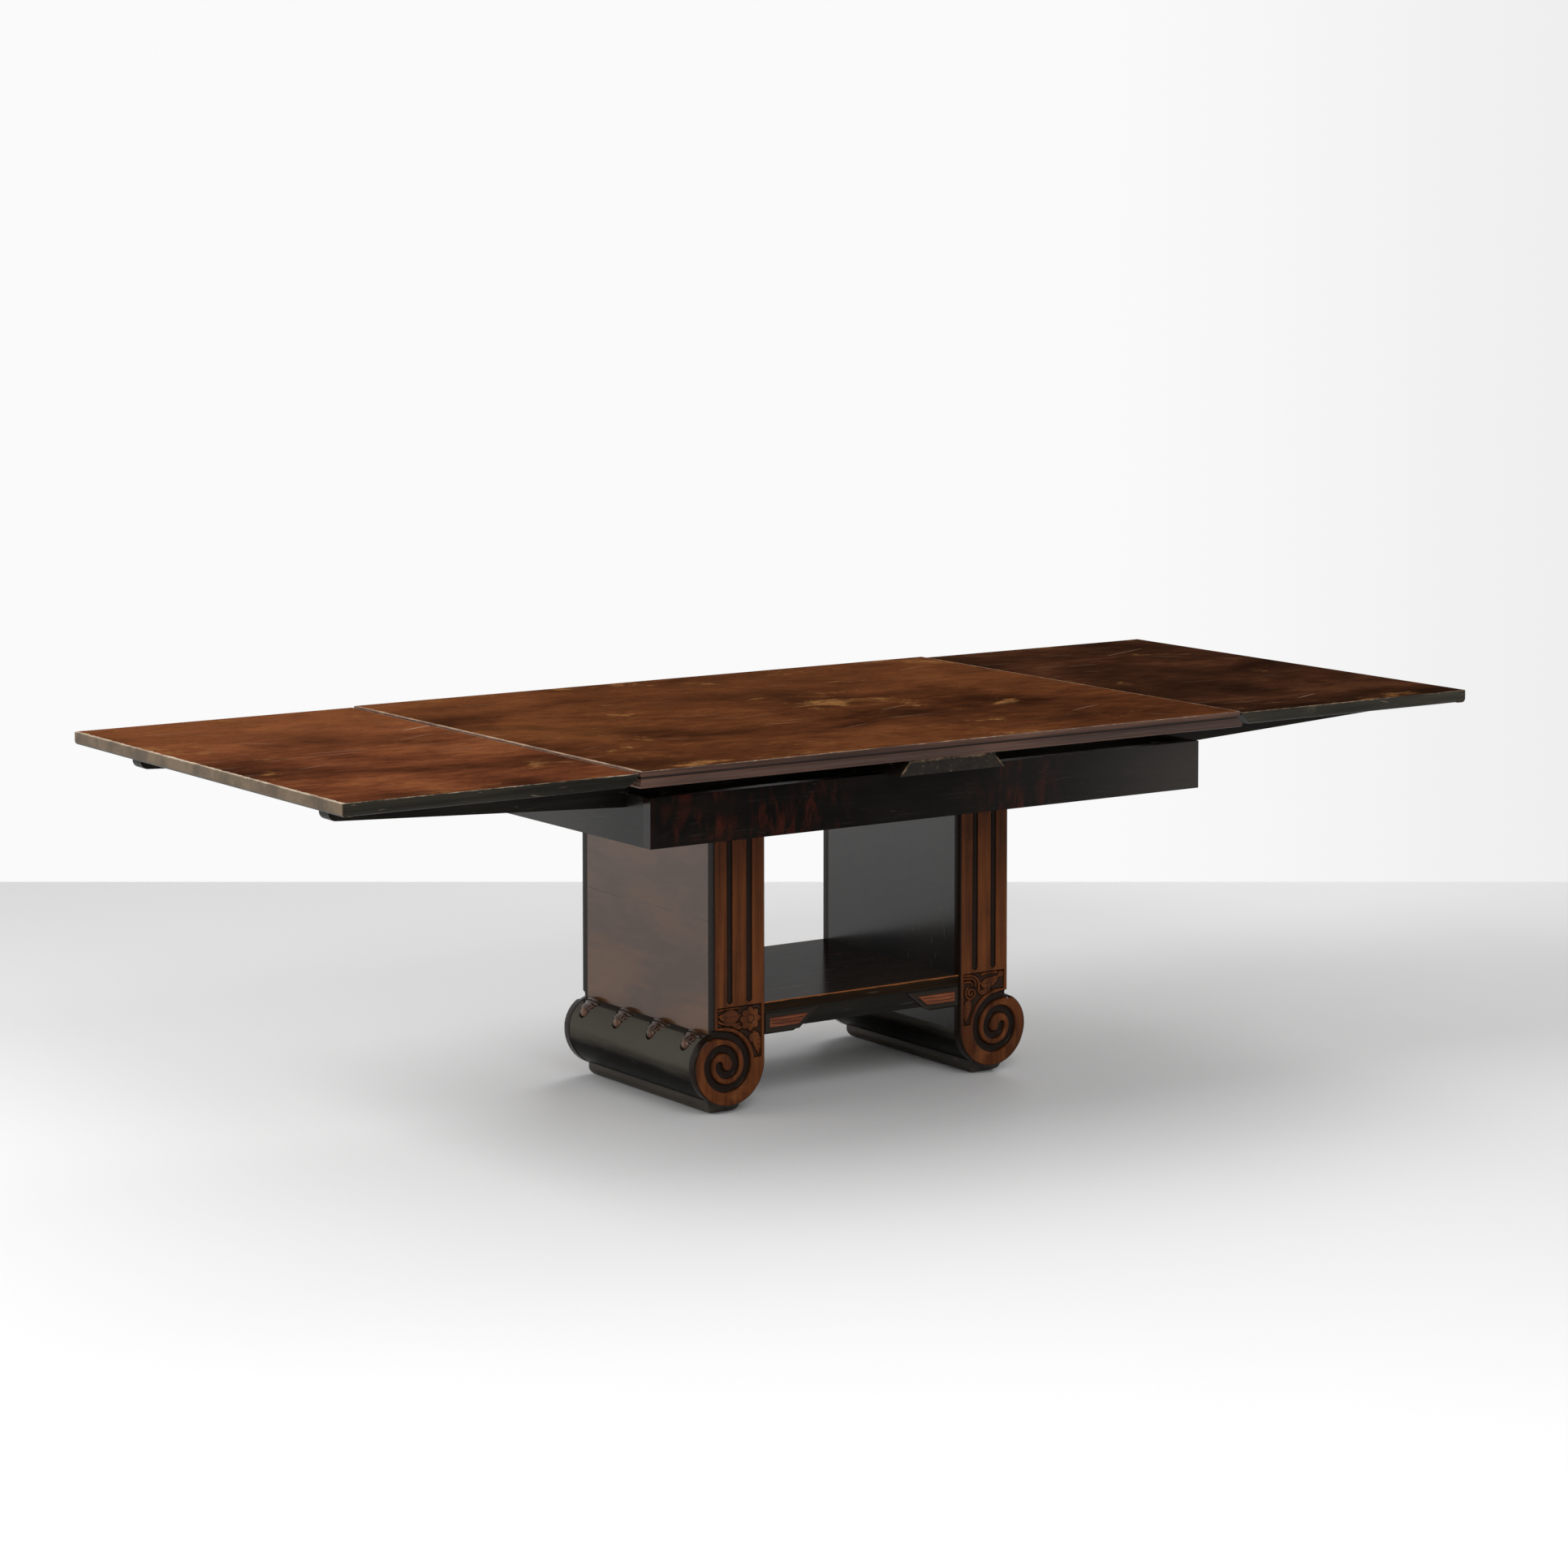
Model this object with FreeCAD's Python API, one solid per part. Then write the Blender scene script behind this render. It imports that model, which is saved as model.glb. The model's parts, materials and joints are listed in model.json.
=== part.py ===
import FreeCAD, Part
import math
import os

# A draw-leaf dining table, shown drawn out. A loose top sits on a fixed centre board, and two leaves slide on
# tapered bearers through notches in the apron. +X runs along the table, the front is at -Y, the floor is z = 0.

# Top and its edge moulding
TABLE_HEIGHT = 780.0
TOP_LENGTH = 1496.0
TOP_DEPTH = 1134.0
TOP_THICKNESS = 33.0
MOULDING_WIDTH = 28.0
BAND_HEIGHT = 11.0
GROOVE_HEIGHT = 4.0
GROOVE_DEPTH = 4.0
BEAD_FLARE = 4.0
ARRIS = 1.5
PEG_RADIUS = 9.0
PEG_LENGTH = 42.0
PEG_HOLD = 16.0
PEG_SPACING = 760.0
PEG_CLEARANCE = 0.5

# Centre board, which the top rests on and the leaves stow against
BOARD_WIDTH = 216.0
BOARD_BEVEL = 23.0
BOARD_LIP = 6.0
BOARD_THICKNESS = 32.0
BOARD_SETBACK = 8.0

# Leaves
LEAF_THICKNESS = 27.0
LEAF_STEP = 3.0
LEAF_EDGE_WIDTH = 22.0
LEAF_INNER_WIDTH = 60.0
LEAF_UNDER_ROUND = 9.0
LEAF_GAP = 1.0
STOW_GAP = 3.0
STOW_CLEARANCE = 1.5
DRAW_PLAY = 12.0

# Bearers under the leaves
BEARER_WIDTH = 38.0
BEARER_DEPTH = 56.0
BEARER_SIDE_INSET = 85.0
BEARER_END_INSET = 55.0
BEARER_END_ROUND = 16.0
BEARER_TAIL = 40.0
BEARER_SIDE_GAP = 1.5
BEARER_PASSING_GAP = 5.0
NOTCH_FLOOR_GAP = 0.3
BEARER_TOP_GAP = 0.3
STOP_LENGTH = 30.0
STOP_HEIGHT = 14.0

# Apron frame
APRON_HEIGHT = 100.0
APRON_END_INSET = 61.0
APRON_SIDE_INSET = 62.0
RAIL_THICKNESS = 25.0
CORNER_BLOCK = 45.0
CORNER_BLOCK_DROP = 12.0
CAP_THICKNESS = 18.0
CAP_MARGIN = 15.0
GUIDE_LENGTH = 180.0
GUIDE_WIDTH = 18.0
GUIDE_HEIGHT = 36.0

# Pedestals: two panels on blocks between a front and a rear stile
PEDESTAL_INNER = 249.0
PEDESTAL_WIDTH = 125.0
PEDESTAL_DEPTH = 508.0
PANEL_THICKNESS = 12.0
STILE_THICKNESS = 22.0
TOP_BLOCK_HEIGHT = 40.0
BOTTOM_BLOCK_HEIGHT = 90.0
FLUTE_RADIUS = 5.5
FLUTE_SPREAD = 48.0
FLUTE_TOP_GAP = 16.0
FLUTE_END_GAP = 13.0
CARVED_TOP = 223.0
CARVED_HEIGHT = 111.0
CARVED_MARGIN = 8.0
CARVED_SINK = 5.0

# Volute, scroll barrel, drop ornaments and feet
FOOT_HEIGHT = 18.0
FOOT_WIDTH = 76.0
FOOT_RISE = 14.0
FOOT_ROUND = 18.0
FOOT_SETBACK = 24.0
VOLUTE_REACH = 421.0
CURL_RADIUS = 67.0
CURL_STEP = 14.0
CURL_HALF_TURNS = 3
CURL_LEAD = 5.0
SPIRAL_WIDTH = 10.0
SPIRAL_DEPTH = 5.0
BARREL_INSET = 1.0
DROP_COUNT = 4
DROP_SPACING = 130.0
DROP_ANGLE = 54.0
DROP_SINK = 6.0
DROP_PROUD = 3.0
DROP_CAP_RADIUS = 30.0
DROP_CAP_LENGTH = 14.0
DROP_CUP_RADIUS = 22.0
DROP_CUP_LENGTH = 19.0
DROP_TIP_RADIUS = 9.0
NICHE_MARGIN = 6.0
NICHE_DEPTH = 13.0

# Shelf between the pedestals
SHELF_TOP = 222.0
SHELF_THICKNESS = 20.0
SHELF_SETBACK = 7.0
FASCIA_HEIGHT = 37.0
FASCIA_THICKNESS = 20.0
FASCIA_END_DROP = 10.0
FASCIA_END_LENGTH = 75.0
FASCIA_SLOPE = 20.0
FRAME_LENGTH = 140.0
FRAME_SLOPE = 58.0
FRAME_RISE = 3.0
FRAME_MARGIN = 4.0
INSET_MARGIN = 9.0
INSET_RISE = 3.0
CLEAT_SIZE = 20.0
CLEAT_MARGIN = 30.0

# Screws
SCREW_RADIUS = 2.5
SCREW_HEAD_RADIUS = 5.0
SCREW_HEAD_HEIGHT = 3.0
BOARD_SCREW_LENGTH = 62.0
BOARD_SCREW_SPACING = 140.0
CAP_SCREW_LENGTH = 45.0
CAP_SCREW_SPACING = 200.0
CLEAT_SCREW_LENGTH = 34.0
CLEAT_SCREW_SPACING = 180.0
BEARER_SCREW_LENGTH = 40.0
BEARER_SCREW_SPACING = 190.0
BEARER_SCREW_HOLD = 18.0

# Levels and places that follow from the sizes above
TOP_UNDERSIDE = TABLE_HEIGHT - TOP_THICKNESS
FRAME_TOP = TOP_UNDERSIDE - BOARD_THICKNESS
FRAME_BOTTOM = FRAME_TOP - APRON_HEIGHT
CAP_TOP = FRAME_BOTTOM + CAP_THICKNESS
LEAF_TOP = TABLE_HEIGHT - LEAF_STEP
LEAF_UNDERSIDE = LEAF_TOP - LEAF_THICKNESS
LEAF_LENGTH = TOP_LENGTH / 2 + BEAD_FLARE - BOARD_WIDTH / 2 - STOW_GAP
LEAF_INNER = TOP_LENGTH / 2 + BEAD_FLARE + LEAF_GAP
LEAF_OUTER = LEAF_INNER + LEAF_LENGTH
STOW_TRAVEL = LEAF_INNER - BOARD_WIDTH / 2 - STOW_GAP
STOW_DROP = LEAF_TOP - TOP_UNDERSIDE + STOW_CLEARANCE
SLOPE = STOW_DROP / STOW_TRAVEL
COPE_DEPTH = BOARD_BEVEL + STOW_CLEARANCE
APRON_END = TOP_LENGTH / 2 - APRON_END_INSET
APRON_SIDE = TOP_DEPTH / 2 - APRON_SIDE_INSET
RAIL_INNER_END = APRON_END - RAIL_THICKNESS
RAIL_INNER_SIDE = APRON_SIDE - RAIL_THICKNESS
BOARD_LOW_HALF = BOARD_WIDTH / 2 + BOARD_BEVEL
BEARER_START = BOARD_LOW_HALF + (LEAF_UNDERSIDE - FRAME_TOP + BEARER_TOP_GAP) / SLOPE
BEARER_END = LEAF_OUTER - BEARER_END_INSET
LEFT_BEARER_Y = RAIL_INNER_SIDE - BEARER_SIDE_INSET
RIGHT_BEARER_Y = LEFT_BEARER_Y - BEARER_WIDTH - BEARER_PASSING_GAP
PEDESTAL_OUTER = PEDESTAL_INNER + PEDESTAL_WIDTH
STILE_FRONT = -PEDESTAL_DEPTH / 2
PANEL_SIDE = PEDESTAL_DEPTH / 2 - STILE_THICKNESS
BOWL_RADIUS = (VOLUTE_REACH - PEDESTAL_INNER) / 2
BOWL_X = PEDESTAL_INNER + BOWL_RADIUS
VOLUTE_Z = FOOT_HEIGHT + BOWL_RADIUS
CURL_X = VOLUTE_REACH - CURL_RADIUS
SHELF_UNDERSIDE = SHELF_TOP - SHELF_THICKNESS
FASCIA_BOTTOM = SHELF_UNDERSIDE - FASCIA_HEIGHT
SHELF_FRONT = STILE_FRONT + SHELF_SETBACK

V = FreeCAD.Vector
UP = V(0, 0, 1)


def box(x, y, z):
    """A box between the low and high values of each pair."""
    return Part.makeBox(x[1] - x[0], y[1] - y[0], z[1] - z[0], V(x[0], y[0], z[0]))


def outline(place, start, *steps):
    """A closed flat face. A step is an end point, or a middle point and an end point for an arc."""
    edges = []
    here = place(*start)
    for step in steps + (start,):
        points = step if isinstance(step[0], tuple) else (step,)
        ends = [place(*point) for point in points]
        if ends[-1].distanceToPoint(here) < 1e-6:
            continue
        curve = Part.LineSegment(here, ends[0]) if len(ends) == 1 else Part.Arc(here, *ends)
        edges.append(curve.toShape())
        here = ends[-1]
    return Part.Face(Part.Wire(edges))


def front_prism(y, start, *steps):
    """An outline in x and z, drawn from the first to the second value of y."""
    face = outline(lambda x, z: V(x, y[0], z), start, *steps)
    return face.extrude(V(0, y[1] - y[0], 0))


def plan_prism(z, start, *steps):
    """An outline in x and y, drawn from the first to the second value of z."""
    face = outline(lambda x, y: V(x, y, z[0]), start, *steps)
    return face.extrude(V(0, 0, z[1] - z[0]))


def mirror_x(shape):
    return shape.mirror(V(), V(1, 0, 0))


def mirror_y(shape):
    return shape.mirror(V(), V(0, 1, 0))


def group(shapes):
    return Part.makeCompound(list(shapes))


def corners(x, y):
    """The four points at plus and minus x and y."""
    return [(sx * x, sy * y) for sx in (-1, 1) for sy in (-1, 1)]


def circle_point(centre_x, centre_z, radius, degrees):
    turn = math.radians(degrees)
    return (centre_x + radius * math.cos(turn), centre_z + radius * math.sin(turn))


def screw(x, y, head_z, length, up=1):
    """A countersunk wood screw on a vertical axis, with its head at the top, or at the bottom for up = -1."""
    head = Part.makeCone(SCREW_HEAD_RADIUS, SCREW_RADIUS, SCREW_HEAD_HEIGHT, V(x, y, head_z), UP * -up)
    shank_start = V(x, y, head_z - up * SCREW_HEAD_HEIGHT)
    shank = Part.makeCylinder(SCREW_RADIUS, length - SCREW_HEAD_HEIGHT, shank_start, UP * -up)
    return head.fuse(shank).removeSplitter()


# Top


def moulding_profile(place):
    """Section of the edge strip: u runs out from the panel, z up from the underside."""
    groove_top = TOP_THICKNESS - BAND_HEIGHT
    groove_low = groove_top - GROOVE_HEIGHT
    face, bead = MOULDING_WIDTH, MOULDING_WIDTH + BEAD_FLARE
    bead_round = groove_low / 4
    return outline(
        place,
        (0, 0),
        (bead - bead_round, 0),
        ((bead, bead_round), (bead - bead_round / 2, 2 * bead_round)),
        ((face - ARRIS, groove_low - bead_round), (face - ARRIS, groove_low)),
        (face - GROOVE_DEPTH, groove_low),
        (face - GROOVE_DEPTH, groove_top),
        (face, groove_top),
        (face, TOP_THICKNESS - ARRIS),
        (face - ARRIS, TOP_THICKNESS),
        (0, TOP_THICKNESS),
    )


def mitred(strip, half_length, half_depth):
    """Keeps the part of a front strip that lies between the two mitre planes at its ends."""
    reach = BEAD_FLARE + GROOVE_DEPTH
    inner = (half_length - MOULDING_WIDTH, -half_depth + MOULDING_WIDTH)
    outer = (half_length + reach, -half_depth - reach)
    wedge = plan_prism(
        (TOP_UNDERSIDE, TABLE_HEIGHT),
        (-inner[0], inner[1]),
        (-outer[0], outer[1]),
        outer,
        inner,
    )
    return strip.common(wedge)


def side_moulding(half_length, half_depth):
    """The front edge strip of a top of these half sizes, mitred at both ends."""
    run = half_length + 2 * MOULDING_WIDTH
    panel_edge = -half_depth + MOULDING_WIDTH
    section = moulding_profile(lambda u, z: V(-run, panel_edge - u, TOP_UNDERSIDE + z))
    return mitred(section.extrude(V(2 * run, 0, 0)), half_length, half_depth)


def peg(y, clearance=0.0):
    low = TOP_UNDERSIDE + PEG_HOLD - PEG_LENGTH - clearance
    return Part.makeCylinder(PEG_RADIUS + clearance, PEG_LENGTH + clearance, V(0, y, low))


def top_nodes():
    half_length, half_depth = TOP_LENGTH / 2, TOP_DEPTH / 2
    panel_x, panel_y = half_length - MOULDING_WIDTH, half_depth - MOULDING_WIDTH
    pegs = [peg(y) for y in (-PEG_SPACING / 2, PEG_SPACING / 2)]
    panel = box((-panel_x, panel_x), (-panel_y, panel_y), (TOP_UNDERSIDE, TABLE_HEIGHT)).cut(pegs)
    front = side_moulding(half_length, half_depth)
    left = side_moulding(half_depth, half_length)
    left.rotate(V(), UP, -90)
    return {
        "top_panel": panel,
        "top_front_moulding": front,
        "top_rear_moulding": mirror_y(front),
        "top_left_moulding": left,
        "top_right_moulding": mirror_x(left),
        "top_locating_pegs": group(pegs),
    }


# Leaves


def bearer_top(x):
    """Height of the sloping upper edge, which runs along the way that the leaf slides."""
    return LEAF_UNDERSIDE + SLOPE * (x - BEARER_START)


def bearer_low(x):
    return bearer_top(x) - BEARER_DEPTH


def bearer(y):
    """A loper that is level where the leaf sits on it and otherwise follows the slope of the slide."""
    nose_low = BEARER_END - BEARER_END_ROUND
    bend = BEARER_END_ROUND * (1 - math.sqrt(0.5))
    return front_prism(
        (y - BEARER_WIDTH / 2, y + BEARER_WIDTH / 2),
        (BEARER_TAIL, bearer_low(BEARER_TAIL)),
        (nose_low, bearer_low(nose_low)),
        (
            (BEARER_END - bend, bearer_low(nose_low) + bend),
            (BEARER_END, bearer_low(nose_low) + BEARER_END_ROUND),
        ),
        (BEARER_END, LEAF_UNDERSIDE),
        (BEARER_START, LEAF_UNDERSIDE),
        (BEARER_TAIL, bearer_top(BEARER_TAIL)),
    )


def bearer_stop(y):
    """A block under the bearer that meets the end rail when the leaf is drawn right out."""
    far = RAIL_INNER_END - DRAW_PLAY
    near = far - STOP_LENGTH
    return front_prism(
        (y - BEARER_WIDTH / 2, y + BEARER_WIDTH / 2),
        (near, bearer_low(near) - STOP_HEIGHT),
        (far, bearer_low(far) - STOP_HEIGHT),
        (far, bearer_low(far)),
        (near, bearer_low(near)),
    )


def bearer_screws(y):
    head_z = LEAF_UNDERSIDE + BEARER_SCREW_HOLD - BEARER_SCREW_LENGTH
    middle = (BEARER_START + BEARER_END) / 2
    return [screw(middle + k * BEARER_SCREW_SPACING, y, head_z, BEARER_SCREW_LENGTH, -1) for k in (-1, 0, 1)]


def screw_bore(one):
    """The counterbore that lets a screw's head in from below."""
    low = one.BoundBox.ZMin
    centre = one.BoundBox.Center
    return Part.makeCylinder(SCREW_HEAD_RADIUS, BEARER_DEPTH, V(centre.x, centre.y, low - BEARER_DEPTH))


def rounded_edge(place, width):
    """Section of an ebonised edge: u runs out from the panel, z up from the underside."""
    bend = LEAF_UNDER_ROUND * (1 - math.sqrt(0.5))
    return outline(
        place,
        (0, 0),
        (width - LEAF_UNDER_ROUND, 0),
        ((width - bend, bend), (width, LEAF_UNDER_ROUND)),
        (width, LEAF_THICKNESS - ARRIS),
        (width - ARRIS, LEAF_THICKNESS),
        (0, LEAF_THICKNESS),
    )


def leaf_nodes(side, bearer_y):
    """The leaf at +X, mirrored for the left side."""
    half_depth = TOP_DEPTH / 2
    panel_y = half_depth - LEAF_EDGE_WIDTH
    panel_x = (LEAF_INNER + LEAF_INNER_WIDTH, LEAF_OUTER - LEAF_EDGE_WIDTH)
    screws = [one for y in (-bearer_y, bearer_y) for one in bearer_screws(y)]
    front_section = rounded_edge(lambda u, z: V(LEAF_INNER, -panel_y - u, LEAF_UNDERSIDE + z), LEAF_EDGE_WIDTH)
    front_edge = front_section.extrude(V(LEAF_LENGTH - LEAF_EDGE_WIDTH, 0, 0))
    outer_section = rounded_edge(lambda u, z: V(panel_x[1] + u, -half_depth, LEAF_UNDERSIDE + z), LEAF_EDGE_WIDTH)
    cope_low = LEAF_INNER + COPE_DEPTH
    inner_edge = front_prism(
        (-panel_y, panel_y),
        (cope_low, LEAF_UNDERSIDE),
        (panel_x[0], LEAF_UNDERSIDE),
        (panel_x[0], LEAF_TOP),
        (LEAF_INNER, LEAF_TOP),
        (LEAF_INNER, LEAF_TOP - BOARD_LIP),
    )
    cope = front_prism(
        (-half_depth, half_depth),
        (LEAF_INNER, LEAF_UNDERSIDE),
        (cope_low, LEAF_UNDERSIDE),
        (LEAF_INNER, LEAF_TOP - BOARD_LIP),
    )
    front_edge = front_edge.cut(cope)
    bearers = {name: bearer(y) for name, y in (("front", -bearer_y), ("rear", bearer_y))}
    bores = [screw_bore(one) for one in screws]
    nodes = {
        "leaf_panel": box(panel_x, (-panel_y, panel_y), (LEAF_UNDERSIDE, LEAF_TOP)).cut(screws),
        "leaf_front_edge": front_edge,
        "leaf_rear_edge": mirror_y(front_edge),
        "leaf_outer_edge": outer_section.extrude(V(0, TOP_DEPTH, 0)),
        "leaf_inner_edge": inner_edge,
        "leaf_front_bearer": bearers["front"].cut(screws + bores),
        "leaf_rear_bearer": bearers["rear"].cut(screws + bores),
        "leaf_bearer_stops": group(bearer_stop(y) for y in (-bearer_y, bearer_y)),
        "leaf_bearer_screws": group(screws),
    }
    if side == "left":
        nodes = {name: mirror_x(shape) for name, shape in nodes.items()}
    return {f"{side}_{name}": shape for name, shape in nodes.items()}


# Frame


def bearer_notch(y):
    """What is taken out of the right end rail for a bearer."""
    half = BEARER_WIDTH / 2 + BEARER_SIDE_GAP
    return front_prism(
        (y - half, y + half),
        (RAIL_INNER_END, bearer_low(RAIL_INNER_END) - NOTCH_FLOOR_GAP),
        (APRON_END, bearer_low(APRON_END) - NOTCH_FLOOR_GAP),
        (APRON_END, TOP_UNDERSIDE),
        (RAIL_INNER_END, TOP_UNDERSIDE),
    )


def end_rail(bearer_y):
    rail = box((RAIL_INNER_END, APRON_END), (-RAIL_INNER_SIDE, RAIL_INNER_SIDE), (FRAME_BOTTOM, FRAME_TOP))
    return rail.cut([bearer_notch(y) for y in (-bearer_y, bearer_y)])


def board_screws():
    x, y = BOARD_SCREW_SPACING / 2, APRON_SIDE - RAIL_THICKNESS / 2
    return [screw(*place, TOP_UNDERSIDE, BOARD_SCREW_LENGTH) for place in corners(x, y)]


def centre_board():
    """A board with bevelled sides, wide at the bottom, that the coped leaves fit over."""
    half_top, half_low = BOARD_WIDTH / 2, BOARD_LOW_HALF
    end = TOP_DEPTH / 2 - BOARD_SETBACK
    return front_prism(
        (-end, end),
        (-half_low, FRAME_TOP),
        (half_low, FRAME_TOP),
        (half_top, TOP_UNDERSIDE - BOARD_LIP),
        (half_top, TOP_UNDERSIDE),
        (-half_top, TOP_UNDERSIDE),
        (-half_top, TOP_UNDERSIDE - BOARD_LIP),
    )


def corner_block():
    low, high = FRAME_BOTTOM, FRAME_TOP - CORNER_BLOCK_DROP
    return plan_prism(
        (low, high),
        (RAIL_INNER_END, -RAIL_INNER_SIDE),
        (RAIL_INNER_END, -RAIL_INNER_SIDE + CORNER_BLOCK),
        (RAIL_INNER_END - CORNER_BLOCK, -RAIL_INNER_SIDE),
    )


def bearer_guides():
    """Blocks under the centre board that keep the bearers' tails in line."""
    outside = LEFT_BEARER_Y + BEARER_WIDTH / 2 + BEARER_SIDE_GAP
    inside = RIGHT_BEARER_Y - BEARER_WIDTH / 2 - BEARER_SIDE_GAP
    half, low = GUIDE_LENGTH / 2, FRAME_TOP - GUIDE_HEIGHT
    spans = [(outside, outside + GUIDE_WIDTH), (inside - GUIDE_WIDTH, inside)]
    blocks = [box((-half, half), span, (low, FRAME_TOP)) for span in spans]
    return group(blocks + [mirror_y(block) for block in blocks])


def cap_screws():
    middle = PEDESTAL_INNER + PEDESTAL_WIDTH / 2
    places = [(side * middle, k * CAP_SCREW_SPACING / 2) for side in (-1, 1) for k in (-1, 1)]
    return [screw(*place, CAP_TOP, CAP_SCREW_LENGTH) for place in places]


def frame_nodes():
    screws = board_screws()
    rail = box((-APRON_END, APRON_END), (-APRON_SIDE, -RAIL_INNER_SIDE), (FRAME_BOTTOM, FRAME_TOP)).cut(screws)
    blocks = [corner_block(), mirror_x(corner_block())]
    peg_holes = [peg(y, PEG_CLEARANCE) for y in (-PEG_SPACING / 2, PEG_SPACING / 2)]
    cap_x = (PEDESTAL_INNER - CAP_MARGIN, PEDESTAL_OUTER + CAP_MARGIN)
    cap = box(cap_x, (-RAIL_INNER_SIDE, RAIL_INNER_SIDE), (FRAME_BOTTOM, CAP_TOP)).cut(cap_screws())
    return {
        "front_apron_rail": rail,
        "rear_apron_rail": mirror_y(rail),
        "left_end_rail": mirror_x(end_rail(LEFT_BEARER_Y)),
        "right_end_rail": end_rail(RIGHT_BEARER_Y),
        "corner_blocks": group(blocks + [mirror_y(block) for block in blocks]),
        "centre_board": centre_board().cut(peg_holes + screws),
        "centre_board_screws": group(screws),
        "bearer_guides": bearer_guides(),
        "left_pedestal_cap": mirror_x(cap),
        "right_pedestal_cap": cap,
        "pedestal_screws": group(cap_screws()),
    }


# Pedestals


def scroll_outline(inset, y, top):
    """The outline of a stile or of the barrel at +X: a shank to the given top over a two-centre scroll."""
    bowl, curl = BOWL_RADIUS - inset, CURL_RADIUS - inset
    inner, reach = PEDESTAL_INNER + inset, VOLUTE_REACH - inset
    meet = math.degrees(math.acos((PEDESTAL_OUTER - CURL_X) / curl))
    return front_prism(
        y,
        (inner, top),
        (inner, VOLUTE_Z),
        ((BOWL_X, VOLUTE_Z - bowl), (reach, VOLUTE_Z)),
        (
            circle_point(CURL_X, VOLUTE_Z, curl, meet / 2),
            circle_point(CURL_X, VOLUTE_Z, curl, meet),
        ),
        (PEDESTAL_OUTER, top),
    )


def spiral_groove():
    """The carved line of the volute: half circles of shrinking radius, each about its own centre."""
    meet = math.degrees(math.acos((PEDESTAL_OUTER - CURL_X) / CURL_RADIUS))
    arcs = [(CURL_X, CURL_RADIUS, meet + CURL_LEAD, 180.0)]
    for turn in range(CURL_HALF_TURNS):
        centre, radius, _, _ = arcs[-1]
        side = -1 if turn % 2 == 0 else 1
        smaller = radius - CURL_STEP
        start = 180.0 if turn % 2 == 0 else 0.0
        arcs.append((centre + side * (radius - smaller), smaller, start, start + 180.0))
    outer = [arc_steps(*arc) for arc in arcs]
    inner = [arc_steps(x, radius - SPIRAL_WIDTH, last, first) for x, radius, first, last in reversed(arcs)]
    centre, radius, first, _ = arcs[0]
    start = circle_point(centre, VOLUTE_Z, radius, first)
    end_centre, end_radius, _, end_angle = arcs[-1]
    turn_back = circle_point(end_centre, VOLUTE_Z, end_radius - SPIRAL_WIDTH, end_angle)
    return front_prism((STILE_FRONT, STILE_FRONT + SPIRAL_DEPTH), start, *outer, turn_back, *inner)


def arc_steps(centre_x, radius, first, last):
    """An arc about a centre on the volute's axis, as its middle point and its end point."""
    middle = circle_point(centre_x, VOLUTE_Z, radius, (first + last) / 2)
    return (middle, circle_point(centre_x, VOLUTE_Z, radius, last))


def flute(x):
    """A round-ended groove down the stile's face."""
    low, high = CARVED_TOP + FLUTE_END_GAP, FRAME_BOTTOM - FLUTE_TOP_GAP
    groove = Part.makeCylinder(FLUTE_RADIUS, high - low, V(x, STILE_FRONT, low))
    ends = [Part.makeSphere(FLUTE_RADIUS, V(x, STILE_FRONT, z)) for z in (low, high)]
    return groove.fuse(ends).removeSplitter()


def carved_recess():
    """The sunk field above the volute, whose lower side follows the curl."""
    left, right = PEDESTAL_INNER + CARVED_MARGIN, PEDESTAL_OUTER - CARVED_MARGIN
    low, radius = CARVED_TOP - CARVED_HEIGHT, CURL_RADIUS + CARVED_MARGIN
    first = math.degrees(math.acos((right - CURL_X) / radius))
    last = 180.0 - math.degrees(math.asin((low - VOLUTE_Z) / radius))
    return front_prism(
        (STILE_FRONT, STILE_FRONT + CARVED_SINK),
        (left, low),
        (left, CARVED_TOP),
        (right, CARVED_TOP),
        circle_point(CURL_X, VOLUTE_Z, radius, first),
        arc_steps(CURL_X, radius, first, last),
    )


def stile():
    """The front stile at +X: fluted shank, sunk carved field and volute with its spiral groove."""
    body = scroll_outline(0, (STILE_FRONT, STILE_FRONT + STILE_THICKNESS), FRAME_BOTTOM)
    middle = PEDESTAL_INNER + PEDESTAL_WIDTH / 2
    flutes = [flute(middle + side * FLUTE_SPREAD / 2) for side in (-1, 1)]
    return body.cut(flutes + [spiral_groove(), carved_recess()])


def barrel_core(radius):
    """A cylinder about the curl's axis along the whole depth."""
    return Part.makeCylinder(radius, PEDESTAL_DEPTH, V(CURL_X, STILE_FRONT, VOLUTE_Z), V(0, 1, 0))


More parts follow.
